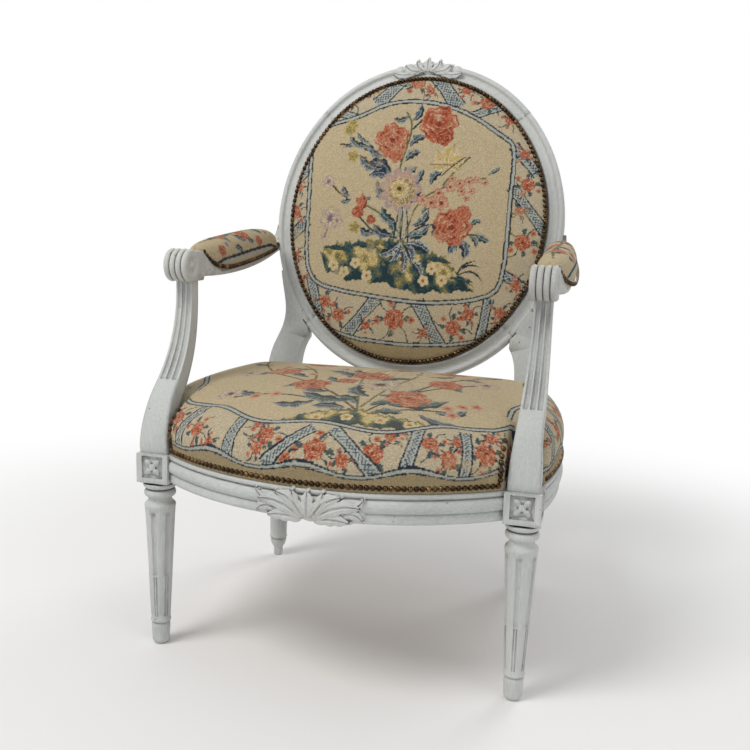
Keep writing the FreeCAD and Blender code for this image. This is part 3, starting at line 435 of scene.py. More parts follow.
# the needlework: motifs drawn stitch by stitch on cloth coordinates, in centimetres
wool = dict(ground=tone(208, 191, 156), border=tone(206, 192, 163), strip=tone(178, 160, 124),
            coral=tone(184, 98, 70), red=tone(146, 66, 48), rose=tone(204, 140, 110), blush=tone(216, 180, 148),
            pink=tone(186, 118, 108), lilac=tone(172, 154, 156), mauve=tone(132, 114, 124),
            navy=tone(48, 56, 68), blue=tone(76, 92, 108), pale=tone(160, 168, 164), ice=tone(188, 192, 182),
            teal=tone(44, 66, 70), sea=tone(72, 98, 98), moss=tone(108, 112, 78), olive=tone(150, 138, 88),
            straw=tone(204, 180, 112), cream=tone(224, 206, 164), tan=tone(168, 140, 100),
                    brown=tone(92, 70, 48))


class Needlework:
    def __init__(self, x, y, ground, stitch=0.15):
        self.x, self.y = (np.floor(x / stitch) + 0.5) * stitch, (np.floor(y / stitch) + 0.5) * stitch
        self.dyed = np.tile(np.array(ground), (len(x), 1))
        mark = np.sin(self.x * 12.9898 + self.y * 78.233) * 43758.5453
        self.grain = mark - np.floor(mark)

    def near(self, x, y, reach):
        pick = np.flatnonzero((abs(self.x - x) < reach) & (abs(self.y - y) < reach))
        return pick, self.x[pick] - x, self.y[pick] - y

    def between(self, x0, y0, x1, y1, width, share):
        # the stitches about a line: how far along it and to its side they are, and its length
        long = math.hypot(x1 - x0, y1 - y0)
        pick, dx, dy = self.near((x0 + x1) / 2, (y0 + y1) / 2, long * share + width)
        ux, uy = (x1 - x0) / long, (y1 - y0) / long
        dx, dy = dx + (x1 - x0) / 2, dy + (y1 - y0) / 2
        return pick, dx * ux + dy * uy, dy * ux - dx * uy, long

    def dye(self, pick, where, colour):
        self.dyed[pick[where]] = wool[colour] if isinstance(colour, str) else colour

    def shades(self, pick, level, names):
        # level 0 to 1 picks one of the named wools
        step = np.clip((level * len(names)).astype(int), 0, len(names) - 1)
        self.dyed[pick] = np.array([wool[n] for n in names])[step]

    def rose(self, x, y, size, names=("red", "coral", "rose", "coral", "blush"), lobes=5):
        pick, dx, dy = self.near(x, y, size * 1.15)
        turn = x * 3.1 + y * 1.7
        far, angle = np.hypot(dx, dy), np.arctan2(dy, dx) + turn
        edge = size * (0.82 + 0.18 * abs(np.cos(angle * lobes / 2)) + 0.05 * np.sin(angle * 11))
        inside = far < edge
        pick, far, angle, edge = pick[inside], far[inside], angle[inside], edge[inside]
        turns = far / edge * 3.3 + 0.35 * np.sin(angle * 2 + turn)
        petal = np.cos(angle * (2 + np.floor(turns)) + np.floor(turns) * 1.9)
        level = (turns % 1) * 0.62 + (petal * 0.5 + 0.5) * 0.38 + (self.grain[pick] - 0.5) * 0.25
        self.shades(pick, level, names)
        self.dye(pick, far < edge * 0.16, names[0])

    def daisy(self, x, y, size, petals, names, core="straw", slim=0.5):
        pick, dx, dy = self.near(x, y, size)
        far, angle = np.hypot(dx, dy), np.arctan2(dy, dx) + x + y
        edge = size * (1 - slim + slim * abs(np.cos(angle * petals / 2)) ** 0.7)
        inside = far < edge
        pick, far, edge = pick[inside], far[inside], edge[inside]
        self.shades(pick, far / edge * 0.8 + (self.grain[pick] - 0.5) * 0.4 + 0.1, names)
        self.dye(pick, far < size * 0.22, core)

    def leaf(self, x0, y0, x1, y1, width, bend=0.15, names=("teal", "blue", "pale")):
        pick, along, side, long = self.between(x0, y0, x1, y1, width, 0.75)
        along = along / long
        side = side - bend * long * 4 * along * (1 - along)
        half = width / 2 * np.sin(np.clip(along, 0, 1) * math.pi) ** 0.75
        half *= 1 + 0.22 * np.sin(along * 19)
        inside = (abs(side) < half) & (along > 0) & (along < 1)
        pick, side, half, along = pick[inside], side[inside], half[inside], along[inside]
        level = (side / half * 0.5 + 0.5) * 0.85 + (self.grain[pick] - 0.5) * 0.35
        self.shades(pick, level, names)
        self.dye(pick, abs(side + half * 0.1) < 0.07, names[-1])

    def stroke(self, places, width, colour):
        # a bent line through points, rounded at each by a quadratic curve
        places = np.array(places, float)
        if len(places) > 2:
            smooth = [places[0]]
            for k in range(1, len(places) - 1):
                first, last = (places[k - 1] + places[k]) / 2, (places[k] + places[k + 1]) / 2
                smooth += [(1 - t) ** 2 * first + 2 * t * (1 - t) * places[k] + t * t * last
                           for t in (0, 0.25, 0.5, 0.75, 1)]
            places = np.array(smooth + [places[-1]])
        for (x0, y0), (x1, y1) in zip(places, places[1:]):
            long = math.hypot(x1 - x0, y1 - y0)
            if long < 1e-6:
                continue
            pick, dx, dy = self.near((x0 + x1) / 2, (y0 + y1) / 2, long / 2 + width)
            ux, uy = (x1 - x0) / long, (y1 - y0) / long
            dx, dy = dx + (x1 - x0) / 2, dy + (y1 - y0) / 2
            along = np.clip(dx * ux + dy * uy, 0, long)
            far = np.hypot(dx - ux * along, dy - uy * along)
            self.dye(pick, far < width / 2, colour)

    def rope(self, places):
        # the double blue line with its pale stripe
        self.stroke(places, 0.92, "navy")
        self.stroke(places, 0.44, "ice")

    def lattice(self, x0, y0, x1, y1, width, waist=0.0):
        # a crossed ribbon with dark edges
        pick, along, side, long = self.between(x0, y0, x1, y1, width, 0.5)
        half = width / 2 * (1 - waist * np.sin(np.clip(along / long, 0, 1) * math.pi))
        inside = (abs(side) < half) & (along > 0) & (along < long)
        pick, along, side, half = pick[inside], along[inside], side[inside], half[inside]
        self.dye(pick, along > -1, "ice")
        mesh = ((along + side) % 0.66 < 0.17) | ((along - side) % 0.66 < 0.17)
        self.dye(pick, mesh, "blue")
        self.dye(pick, abs(side) > half - 0.24, "navy")
        self.dye(pick, (abs(side) > half - 0.5) & (abs(side) < half - 0.3), "ice")

    def sprig(self, x, y, size):
        # a little rose with leaves and buds, as in the borders
        size *= 0.86
        for angle in (0, 1.9, 3.1, 4.6):
            angle += x * 2.1
            dx, dy = math.cos(angle) * size, math.sin(angle) * size
            self.stroke([(x + dx * 0.8, y + dy * 0.8), (x + dx * 1.6 - dy * 0.3, y + dy * 1.6 + dx * 0.3),
                         (x + dx * 2.4 + dy * 0.2, y + dy * 2.4 - dx * 0.2)], 0.17, "teal")
        for angle, far in ((0.6, 1.5), (2.4, 1.6), (4, 1.45), (5.5, 1.55)):
            angle += x * 1.3
            dx, dy = math.cos(angle), math.sin(angle)
            self.leaf(x + dx * size * 0.8, y + dy * size * 0.8, x + dx * size * far * 1.15,
                      y + dy * size * far * 1.15, size * 0.5, 0.2, ("sea", "moss", "blue"))
        self.rose(x, y, size)
        for angle in (1.5, 3.3, 4.8):
            angle += y * 1.1
            self.daisy(x + math.cos(angle) * size * 1.65, y + math.sin(angle) * size * 1.5, size * 0.36, 4,
                       ("coral", "rose"), "red", 0.3)

    def mound(self, top, bottom):
        # a hummock of ground between two lines, dark at the foot, with lighter banks
        x = np.array([p[0] for p in top])
        low, high = x.min(), x.max()
        pick = np.flatnonzero((self.x > low) & (self.x < high))
        px, py = self.x[pick], self.y[pick]
        crest = np.interp(px, x, [p[1] for p in top]) + 0.25 * np.sin(px * 3.1) + 0.15 * np.sin(px * 7.7)
        foot = np.interp(px, [p[0] for p in bottom], [p[1] for p in bottom])
        foot = foot + 0.24 * np.sin(px * 1.37 + 1) + 0.13 * np.sin(px * 2.9) + 0.08 * np.sin(px * 6.7)
        inside = (py < crest) & (py > foot)
        pick, px, py, crest, foot = pick[inside], px[inside], py[inside], crest[inside], foot[inside]
        deep = (py - foot) / (crest - foot)
        bank = np.sin(px * 0.9 + 2) * 0.25 + np.sin(px * 2.3 + py * 1.1) * 0.16 + np.sin(py * 2.1 - px) * 0.12
        level = deep * 0.75 + bank + (self.grain[pick] - 0.5) * 0.22
        level[deep > 0.86] *= 0.45
        self.shades(pick, level, ("teal", "sea", "moss", "olive", "straw", "cream", "straw", "olive"))

    def finish(self, mesh):
        colours = self.dyed * (0.84 + 0.30 * self.grain[:, None])
        layer = mesh.color_attributes.new("wool", "FLOAT_COLOR", "POINT")
        layer.data.foreach_set("color", np.c_[colours, np.ones(len(colours))].astype(np.float32).ravel())


def clothMap(mesh, u, v):
    layer = mesh.attributes.new("cloth", "FLOAT_VECTOR", "POINT")
    layer.data.foreach_set("vector", np.c_[u, v, np.zeros(len(u))].astype(np.float32).ravel())


# the oval back
backCushion = dict(middle=(0, 0.242, 0.649),
        lean=12.4, cell=0.006, grow=0.0024, stiff=18, pressure=4.0, cap=0.0030,
                   wide=0.239, tall=0.264)
backPlace = Matrix.Translation(backCushion["middle"]) @ Matrix.Rotation(math.radians(-backCushion["lean"]),
        4, "X")
backTurn = np.array(backPlace.to_3x3())


def uprightBack(co):  # points in the oval's own frame: across, out of the face, up
    return (co - np.array(backCushion["middle"])) @ backTurn


def backHeld(co):
    local = uprightBack(co)
    rim = np.hypot(local[:, 0] / backCushion["wide"], local[:, 2] / backCushion["tall"])
    front = local[:, 1] < -0.004
    return np.where(front, np.clip((rim - 0.93) / 0.05, 0, 1), 1.0)


def backPicture(mesh):
    local = uprightBack(points(mesh)) * 100
    x, y = local[:, 0], local[:, 2]
    clothMap(mesh, x / 100, y / 100)
    w = Needlework(x, y, wool["ground"])
    frameLine = [(-21.0, 15.6), (-17.4, 17.4), (-12.2, 18.3), (-6.3, 21.3), (0.8, 21.5), (8.4, 19.5),
            (15.1, 15),
            (17.4, 13.6), (17.2, 4.3), (17.2, -10.6), (14.8, -13.8), (5.9, -15.4), (-1.5, -15.2),
            (-13.1, -13.8),
            (-18, -12.4), (-19.9, -8.6), (-20.2, 3.2)]
    # the border's ground lies outside the frame line
    angle = np.arctan2(y, x)
    line = np.array(frameLine)
    order = np.argsort(np.arctan2(line[:, 1], line[:, 0]))
    reach = np.interp(angle, np.arctan2(line[order, 1], line[order, 0]),
            np.hypot(line[order, 0], line[order, 1]),
                      period=2 * math.pi)
    outside = np.hypot(x, y) > reach
    w.dyed[outside] = wool["border"]
    for x0, y0, x1, y1, wide, waist in (
            (-3.4, 27, -8.6, 20.8, 3.2, 0.2), (1.6, 27, 6.6, 20.2, 3.2, 0.2),
            (9.6, 18.9, 15.6, 21.4, 1.7, 0),
            (16.9, 13.6, 21.6, 8.6, 2, 0), (17.2, 6.2, 23.6, -1.6, 2.3, 0.2),
            (-12.4, 18.4, -18.4, 20.4, 1.6, 0),
            (-20.6, 9.2, -25.6, 4.2, 2.2, 0), (-20, -1, -24.6, -5, 2.2, 0),
            (-18.6, -11.4, -16, -20.2, 2, 0),
            (-5.4, -14.9, -10.8, -21.4, 2.7, 0.2), (2.2, -15.1, 6.6, -22.6, 2.7, 0.2),
            (14.9, -13.6, 13.6, -21.6, 1.9, 0.1),
            (17, -9.4, 22.4, -12.4, 1.8, 0)):
        w.lattice(x0, y0, x1, y1, wide, waist)
    for px, py, size in ((-1.4, 25.2, 1.7), (-13.9, 22, 1.5), (-10.4, 23.9, 1.1), (-17.9, 19, 1.1),
            (-22.6, 11.6, 1.3),
            (-23, 0.6, 1.6), (-22.4, 5.2, 0.9), (-20.8, -12.2, 1.3), (-22, -7.6, 1),
            (-15.4, -15.9, 1.4),
            (-12.6, -18.2, 1.5), (-1.9, -18.5, 2.3), (-7.2, -19.9, 1), (8.9, -19.3, 1.7),
            (11.4, -16.8, 1.3),
            (3.6, -20.6, 0.9), (16.9, -16.2, 1.3), (19.3, -11.2, 1.2), (19.9, -3.6, 1.8),
            (18.9, 1.8, 1),
            (20, 6.6, 1.5), (19, 12.2, 1.1), (15.9, 18.2, 1.1), (11.6, 21.4, 1.6),
            (7.6, 23.6, 1.1),
            (1.2, 23.4, 0.9)):
        w.sprig(px, py, size)
    outer = [(-27, -12.5), (-22.4, -16.4), (-18.4, -19.4), (-10.4, -22.3), (-0.8, -23.0), (8.3, -22.5),
            (15.4, -20.9),
            (20.6, -17.6), (26, -12)]
    below = y < np.interp(x, [p[0] for p in outer], [p[1] for p in outer])
    w.dyed[below] = wool["strip"]
    w.stroke(outer, 0.8, "navy")
    w.stroke(outer, 0.4, "ice")
    w.rope(frameLine + frameLine[:1])

    # the spray of flowers
    stems = ("moss", "teal", "brown")
    for k, line in enumerate((
            [(-1.8, -4.5), (-2.4, 2), (-3.4, 8), (-2, 13), (-1.4, 17), (-2.8, 19.2)], [(-1.4, 16),
            (0.6, 18.4), (3, 17.4)],
            [(-2.6, 3), (-5.2, 8), (-9, 12.4), (-15, 13.4)], [(-1.2, -3.5), (1, 3), (5.2, 5.6),
            (12.6, 7.4)],
            [(-1, -4), (2.6, -1), (6.6, -2)], [(6.6, -2), (10, -3), (12.8, -2.8)],
            [(-2.2, -3), (-5, 0), (-9.2, 2)], [(-2.6, -4), (-7, -3.2), (-10, 0)],
            [(-12.6, 3.2), (-14.6, 4.4), (-16.2, 6.2)], [(5.2, 5.8), (8, 9.6), (9.6, 11)])):
        w.stroke(line, 0.34, stems[k % 3])
    for k in range(5):
        w.stroke([(-3.2 + k * 0.7, -5.0), (-2.6 + k * 0.45, 0), (-2.6 + k * 0.2, 3.5)], 0.24,
                 ("teal", "pale", "navy", "ice", "teal")[k])
    blues = ("navy", "blue", "pale")
    for x0, y0, x1, y1, wide, bend in (
            (-6, 10.8, -9.4, 13.6, 1.3, 0.2), (-8.2, 12, -14.6, 12.6, 1.1, -0.12),
            (-9.4, 13.4, -12, 15.6, 0.8, 0.1),
            (-4.4, 7.4, -9.8, 9.4, 2.1, -0.2), (-4.4, 6.6, -8.8, 7.2, 1.9, -0.2),
            (-4.6, 6.2, -7, 3.4, 2, 0.2),
            (-2.2, 10, 0.8, 11.8, 1.6, 0.2), (-2.4, 8.8, 0.4, 9.2, 1.3, -0.2),
            (-1.6, 17.6, -0.2, 21, 1.5, -0.15),
            (-2.4, 18.8, -5.2, 18.2, 1.2, 0.3), (8.8, -3.6, 9.9, -7.4, 1.7, 0.2),
            (10.6, -3, 12, -5, 1, 0.2),
            (0.6, 5.6, 1.6, 8.6, 1.3, 0.1), (-3, -3.4, -7.2, -1.4, 1.8, 0.2),
            (-1, -3.2, 3.6, -1.2, 1.6, -0.2),
            (1.8, 0.6, 4.6, 3.2, 1.2, 0.1), (-12.2, 3.4, -13.6, 5.4, 1, 0.1),
            (-11.6, 3, -13.8, 2.4, 0.9, 0.1),
            (-3.2, -3.6, -5.4, -0.2, 1.5, -0.2), (0, -4, 2.6, -3.4, 1.5, 0.15),
            (10.6, -1.4, 12.8, -0.4, 0.9, 0.2),
            (-9.4, 1.6, -7.8, 3.4, 0.9, 0.2), (13, 8, 15.2, 9.6, 0.7, 0),
            (-3.6, 3, -7.2, 6.6, 1.8, 0.2),
            (-1.6, 12.8, 1.4, 14.6, 1.6, 0.2), (-1.8, 1.6, -5.6, 4, 1.6, -0.2),
            (-0.8, 1.8, 1.6, 4.6, 1.6, 0.2),
            (-6.4, 8.6, -11, 11.2, 1.8, 0.15), (-3, -1, -5.8, 1.6, 1.7, 0.2),
            (0.2, -1.6, 3, 1.4, 1.5, -0.2),
            (-6.6, -3.2, -9.6, -2.2, 1.5, 0.2), (4.4, -0.6, 4, -3.4, 1.6, 0.2),
            (9.4, -4.6, 7.2, -6.6, 1.5, -0.2),
            (3, 5.8, 5, 8.4, 1.4, 0.2), (-10.8, 12.6, -13.2, 14.8, 1.2, 0.1),
            (11.8, -2.6, 14.4, -3.8, 1.2, -0.1)):
        w.leaf(x0, y0, x1, y1, wide, bend, blues if (x0 + y1) % 2 > 0.7 else ("teal", "sea", "pale"))
    w.rose(-5.0, 14.0, 3.3)
    w.rose(-4.0, 11.2, 1.5, ("coral", "rose", "coral"))
    w.rose(3.4, 17.1, 3.6, ("red", "coral", "coral", "rose", "blush"), 6)
    w.rose(4.6, 14.6, 1.7, ("coral", "red", "rose"))
    w.rose(7.4, -1.7, 3.5, ("red", "coral", "rose", "coral", "blush"), 5)
    w.rose(9.2, 0.8, 1.6, ("coral", "rose", "coral"), 3)
    for dx, dy in ((-1.2, 1.8), (0, 2.4), (1, 1.6), (-1.5, -0.2)):
        w.leaf(-9.6, 0.6, -9.6 + dx, 0.6 + dy * 1.5, 1.3, 0.1 * dx, ("red", "coral", "rose"))
    w.rose(-10.2, 0.6, 1.2, ("red", "coral", "rose"), 3)
    w.rose(-7.6, -0.8, 0.9, ("coral", "red"), 3)
    for far, size, names in ((0, 4.1, ("mauve", "lilac", "blush", "lilac")),
            (0.3, 2.9, ("lilac", "cream", "olive", "blush")),
            (-0.2, 1.7, ("mauve", "straw", "cream"))):
        w.daisy(-2.6 + far, 4.8 - far, size, 11, names, "brown", 0.32)
    for px, py, size in ((3.4, 2.6, 1.3), (1.8, 3, 1.2), (5.2, 2.6, 1.5), (4.6, 4.4, 1), (6.6, 5.6, 1.1),
            (8.2, 6.2, 0.9), (9.8, 6.6, 0.9),
            (11.2, 7, 0.7), (8.6, 4.8, 0.8), (10.4, 4.9, 0.7), (12.6, 6.6, 0.6),
            (6.8, 7, 0.7), (9.6, 3.6, 0.6)):
        w.daisy(px, py, size, 5, ("pink", "rose", "blush", "pink"), "red", 0.3)
    for px, py, size in ((-15.4, -0.6, 2.2), (-14.2, -1, 1.2), (-16.6, 6.2, 1.3), (-16.4, -4.1, 0.8)):
        w.daisy(px, py, size, 7, ("mauve", "lilac", "cream", "lilac"), "mauve", 0.35)
    w.stroke([(-15.8, -2.6), (-16.2, -3.6)], 0.22, "moss")
    for x1, y1, wide in ((3.6, 12.2, 2.2), (6.6, 13.4, 2.6), (8.8, 11, 2.3), (2.6, 9.6, 1.9),
            (7.8, 8.6, 1.8)):
        w.leaf(5.8, 9.6, x1, y1, wide, 0.1, ("cream", "straw", "cream"))
        w.stroke([(5.8, 9.6), ((5.8 + x1) / 2 + 0.3, (9.6 + y1) / 2), (x1, y1)], 0.17, "tan")
    w.stroke([(4.8, 7.6), (6.8, 9.6), (8.8, 11.0)], 0.24, "brown")
    for px, py in ((-13, 17), (-12.2, 10.9), (-10.6, -2.2), (-13.4, 16)):
        w.daisy(px, py, 1.25, 5, ("straw", "olive", "straw"), "olive", 0.5)
    w.mound([(-16.9, -6.7), (-13.6, -5.2), (-8.0, -4.6), (-5.4, -4.4), (-1.4, -4.3), (2.8, -5.9), (6.9, -7.1),
            (8.6, -9.4), (12.2, -11.8)],
            [(-16.9, -7.2), (-15.4, -10.3), (-11.6, -11.7), (-8.8, -11.9), (-4.7, -12.1), (1.1, -13.7),
            (7.4, -13.2), (12.2, -12.6)])
    for x0, x1, y0 in ((-16.6, -10, -6), (-11, -5.5, -5.4), (2.5, 8, -7.4), (7.6, 12, -10.6)):
        w.leaf(x0, y0, x1, y0 - 0.7, 0.9, 0.05, ("teal", "teal", "sea"))
    for x0, y0, x1, y1, wide in ((-1.8, -4.6, -3.4, -8.2, 2), (-1, -4.8, 0.8, -8.4, 2.1),
            (-2, -5, -5.6, -7, 1.8),
            (-0.4, -4.8, 4, -6.6, 1.8), (-1.2, -6, -1, -10.2, 1.7),
            (0.6, -8, 2.8, -10.8, 1.5)):
        w.leaf(x0, y0, x1, y1, wide, 0.12, ("navy", "blue", "ice"))
    for px, py in ((-14.1, -9.3), (-9.9, -8.7), (4.4, -9.2), (3.1, -11.4), (6.4, -11.1), (-7.6, -10.9),
            (-12, -10.4)):
        w.daisy(px, py, 1.05, 5, ("straw", "cream", "cream"), "coral", 0.34)
    for x1, y1, bend in ((13.7, -11.4, 0.3), (13.2, -8.6, 0.25), (12, -7.4, 0.15)):
        w.leaf(8.8, -10.4, x1, y1, 0.42, bend, ("teal", "navy"))
    w.finish(mesh)


def makeBack():
    mesh = puffed("back_stuffing", backCushion, backHeld)
    mesh = divided(mesh, lambda middles, normals: uprightBack(middles)[:, 1] < -0.002)
    backPicture(mesh)
    piece = shown(mesh, "backCushion", needlepoint, ["back_stuffing", "back_cover"], sharp=0)
    print("back cushion:", len(mesh.vertices), "points")


makeBack()


# the seat cushion
seatCushion = dict(cell=0.006, grow=0.0026, stiff=18, pressure=4.0, cap=0.0040, low=0.3023, frontLine=-0.328,
                   nailLine=0.318, skirtTop=0.330, skirtCell=0.0017,
                   wall=0.034, crown=0.071, reach=0.228, bend=1.45)
arcs = dict(front=((-0.244, -0.242), (0, -0.328), (0.244, -0.242)),
            side=((0.293, -0.197), (0.306, -0.062), (0.257, 0.168)))


def throughThree(a, b, c):
    # middle and radius of the circle through three points
    (x1, y1), (x2, y2), (x3, y3) = a, b, c
    d = 2 * (x1 * (y2 - y3) + x2 * (y3 - y1) + x3 * (y1 - y2))
    s1, s2, s3 = x1 * x1 + y1 * y1, x2 * x2 + y2 * y2, x3 * x3 + y3 * y3
    cx = (s1 * (y2 - y3) + s2 * (y3 - y1) + s3 * (y1 - y2)) / d
    cy = (s1 * (x3 - x2) + s2 * (x1 - x3) + s3 * (x2 - x1)) / d
    return cx, cy, math.hypot(x1 - cx, y1 - cy)


def seatOutline():
    # half of the seat's plan, from the middle of the front round to the middle of the rear
    cx, cy, radius = throughThree(*arcs["front"])
    x = np.linspace(0, 0.274, 40)
    front = np.c_[x, cy - np.sqrt(radius ** 2 - (x - cx) ** 2)]
    cx, cy, radius = throughThree(*arcs["side"])
    y = np.linspace(-0.205, 0.176, 40)
    side = np.c_[cx + np.sqrt(radius ** 2 - (y - cy) ** 2), y]
    x = np.linspace(0.240, 0, 24)
    rear = np.c_[x, 0.214 - 0.005 * (x / 0.24) ** 2]
    return np.concatenate([front, side, rear])


def seatCoordinates(co):
    # distance round the edge from the middle of the front, and up and over from the rail
    line = seatOutline()
    steps = np.hypot(*np.diff(line, axis=0).T)
    run = np.r_[0, np.cumsum(steps)]
    px, py = abs(co[:, 0]), co[:, 1]
    best, around = np.full(len(co), 9.0), np.zeros(len(co))
    for k, ((x0, y0), (x1, y1)) in enumerate(zip(line, line[1:])):
        ux, uy = (x1 - x0) / steps[k], (y1 - y0) / steps[k]
        along = np.clip((px - x0) * ux + (py - y0) * uy, 0, steps[k])
        far = np.hypot(px - x0 - ux * along, py - y0 - uy * along)
        closer = far < best
        best[closer], around[closer] = far[closer], run[k] + along[closer]
    # up the wall and over the crown, measured along the front's own curve
    share = np.linspace(0, 1, 60)
    rise = np.r_[0, seatCushion["wall"] + seatCushion["crown"] * np.sin(share * seatCushion["bend"])]
    inset = np.r_[0.001, -0.003 + seatCushion["reach"] * (1 - np.cos(share * seatCushion["bend"]))]
    over = np.r_[0, np.cumsum(np.hypot(np.diff(rise), np.diff(inset)))]
    climb = np.interp(co[:, 2] - seatCushion["low"] + best, rise + inset, over)
    return np.copysign(around, co[:, 0]) * 100, climb * 100


def seatPicture(mesh):
    co = points(mesh)
    around, climb = seatCoordinates(co)
    clothMap(mesh, around / 100, climb / 100)
    border = Needlework(around, climb, wool["border"])
    low = 3.0 + 0.75 * np.cos((around - 13.4) * 2 * math.pi / 14.5)
    for x, y, size in ((-25.5, 6.2, 1.5), (-19.6, 5.6, 1.5), (-16.2, 4.2, 1), (-7.4, 6.9, 1.7),
            (-9.4, 8.6, 1), (-7.9, 4.9, 1.1),
            (0.4, 5.7, 2), (-3.6, 4.2, 1), (4.4, 4.5, 1.1), (8.3, 5.6, 1.8), (10.7, 8.3, 1.1),
            (12.3, 9.2, 0.7),
            (16.1, 7.2, 1.5), (18.3, 4.9, 1.4), (20, 7.4, 0.9), (23.6, 5.4, 1.8),
            (25.4, 7.6, 1.2), (28.6, 5.4, 1.6)):
        border.sprig(x, y, size)
    for reach in range(34, 90, 8):
        for side in (-1, 1):
            border.sprig(side * reach, 6.0 + (reach % 3) * 0.6, 1.6)
            border.lattice(side * (reach + 4.6), 10.5, side * (reach + 2.6), 2.5, 2.0, 0.2)
    for x0, y0, x1, y1, wide, waist in (
            (-22.4, 10.6, -23.2, 2.4, 2, 0.1), (-12.8, 10.8, -12.6, 3, 2.3, 0.15),
            (-0.6, 9.4, -6.6, 3, 2.1, 0.2),
            (2.3, 9.4, 9, 2.6, 2.3, 0.25), (15.2, 10.6, 12.2, 2.9, 2, 0.1),
            (21.9, 9.2, 20.2, 2.2, 1.8, 0.1),
            (31.4, 10, 30.6, 2.5, 2, 0.1)):
        border.lattice(x0, y0, x1, y1, wide, waist)
    border.dyed[climb < low] = wool["strip"]
    ends = np.arange(-90, 90.1, 1.5)
    border.rope([(x, 3.0 + 0.75 * math.cos((x - 13.4) * 2 * math.pi / 14.5)) for x in ends])

    w = Needlework(co[:, 0] * 100, (co[:, 1] - seatCushion["frontLine"]) * 100, wool["ground"])
    stems = ("moss", "teal", "brown")
    for k, line in enumerate((
            [(4, 8), (2, 16), (0, 24), (1, 32), (3.5, 38)], [(4.6, 8), (8, 15),
            (12, 22), (17, 27)],
            [(3.5, 9), (-2, 15), (-8, 20), (-14, 24)], [(4, 10), (6, 20), (8, 30),
            (7, 36)],
            [(2.4, 8), (-4, 12), (-10, 13), (-16, 12)], [(6, 9), (12, 12), (18, 13.5)],
            [(-6, 19), (-8, 27), (-12, 32)], [(10, 20), (13, 28), (18, 34)],
            [(-14, 24), (-18, 30), (-20, 37)])):
        w.stroke(line, 0.36, stems[k % 3])
    for x0, y0, x1, y1, wide, bend in (
            (-2, 15, -7, 17, 2.2, 0.2), (-4, 17, -10, 16, 2, -0.2), (0, 20, -5, 24, 2, 0.2),
            (1, 18, 5, 22, 2.2, 0.2), (6, 18, 11, 18, 1.9, -0.15),
            (1, 28, -3, 32, 1.8, 0.2), (2, 34, 6, 37, 1.7, 0.1), (9, 30, 13, 33, 1.7, -0.2),
            (12, 24, 16, 22, 1.9, 0.2), (-8, 22, -12, 27, 1.8, 0.1),
            (-12, 24, -17, 23, 1.8, -0.2), (-9, 29, -13, 29, 1.5, 0.2), (14, 30, 18, 30, 1.5, 0.2),
            (-12, 13, -16, 15, 1.6, 0.2),
            (14, 12, 18, 15, 1.7, -0.2), (5, 11, 9, 13, 2.2, 0.2), (3, 11, -1, 13, 2.2, -0.2),
            (6, 9, 10, 10, 2, 0.1), (2, 9, -3, 9, 2.2, -0.1),
            (-17, 31, -21, 34, 1.5, 0.2), (16, 35, 20, 38, 1.5, -0.2), (-2, 38, -6, 41, 1.6, 0.2),
            (4, 14, 1, 19, 2.4, 0.2), (5, 15, 10, 21, 2.4, -0.2), (2, 12, -6, 14, 2.6, 0.15),
            (7, 12, 15, 17, 2.4, -0.15),
            (-3, 11, -9, 9.6, 2, 0.2), (12, 10.5, 18, 10.5, 2, -0.2), (3, 23, 8, 27, 2.2, 0.2),
            (-2, 24, -7, 29, 2.2, -0.2)):
        w.leaf(x0, y0, x1, y1, wide, bend, ("navy", "blue", "pale") if (x0 + y1) % 2 else ("teal", "sea",
                "pale"))
    for x, y, size in ((9.4, 15.4, 3.4), (-6, 18, 3), (1, 27, 3.4), (13, 25, 2.8),
            (-13, 26, 2.7), (4, 40, 3.2),
            (-10, 35.5, 2.6), (12, 36, 2.8), (-1.5, 21.5, 1.8)):
        w.rose(x, y, size)
    for x, y, size, petals in ((4, 20.5, 3.3, 11), (-17, 13.6, 2, 7), (18.6, 28.4, 2.2, 8),
            (-18.4, 24.4, 1.9, 7), (7.4, 31.6, 1.9, 8),
            (-4.4, 31, 1.9, 7), (-20, 37, 2, 7), (19, 39.5, 2, 7)):
        w.daisy(x, y, size, petals, ("mauve", "lilac", "cream", "lilac"), "brown", 0.35)
    for x, y in ((15.4, 14.2), (17.2, 15.8), (19, 17), (-9.6, 12.8), (-12.4, 12), (16.4, 12.4),
            (-14, 29.8), (16.6, 33), (-8, 24.6)):
        w.daisy(x, y, 1.1, 5, ("pink", "rose", "blush"), "red", 0.3)
    w.mound([(-5.8, 4.6), (-3.0, 6.6), (0.5, 8.4), (4.0, 9.2), (8.0, 8.4), (12.0, 8.4), (15.0, 8.0),
            (18.6, 6.6)],
            [(-5.8, 4), (-2, 4.4), (2, 4.6), (6, 5), (10, 5.6), (14, 6.2), (18.6, 6.2)])
    for x, y in ((-1.2, 5.8), (3, 6.6), (7.6, 7), (11.6, 7.2), (14.6, 7.2)):
        w.daisy(x, y, 0.95, 5, ("straw", "cream"), "coral", 0.34)
    for x1, y1 in ((21.6, 6.4), (21, 8.6), (19.6, 9.8)):
        w.leaf(16.6, 6.6, x1, y1, 0.5, 0.2, ("teal", "navy"))

    # the panel's rope follows a wavy line round the crown
    high = 10.0 + 0.75 * np.sin((around + 5.0) * 2 * math.pi / 19.0) + np.clip(abs(around) - 27, 0, 12) * 0.16
    inner = climb > high
    border.dyed[inner] = w.dyed[inner] * 0.9 + np.array(wool["ground"]) * 0.1
    off = climb - high
    border.dyed[abs(off) < 0.46] = wool["navy"]
    border.dyed[abs(off) < 0.23] = wool["ice"]
    border.finish(mesh)


def seatHeld(co):
    low = np.clip((seatCushion["nailLine"] + 0.006 - co[:, 2]) / 0.006, 0, 1)
    notch = (abs(co[:, 0]) > 0.225) & (co[:, 1] < -0.12) | (abs(co[:, 0]) > 0.19) & (co[:, 1] > 0.15)
    return np.maximum(low, np.where(notch, 1.0, 0.0))


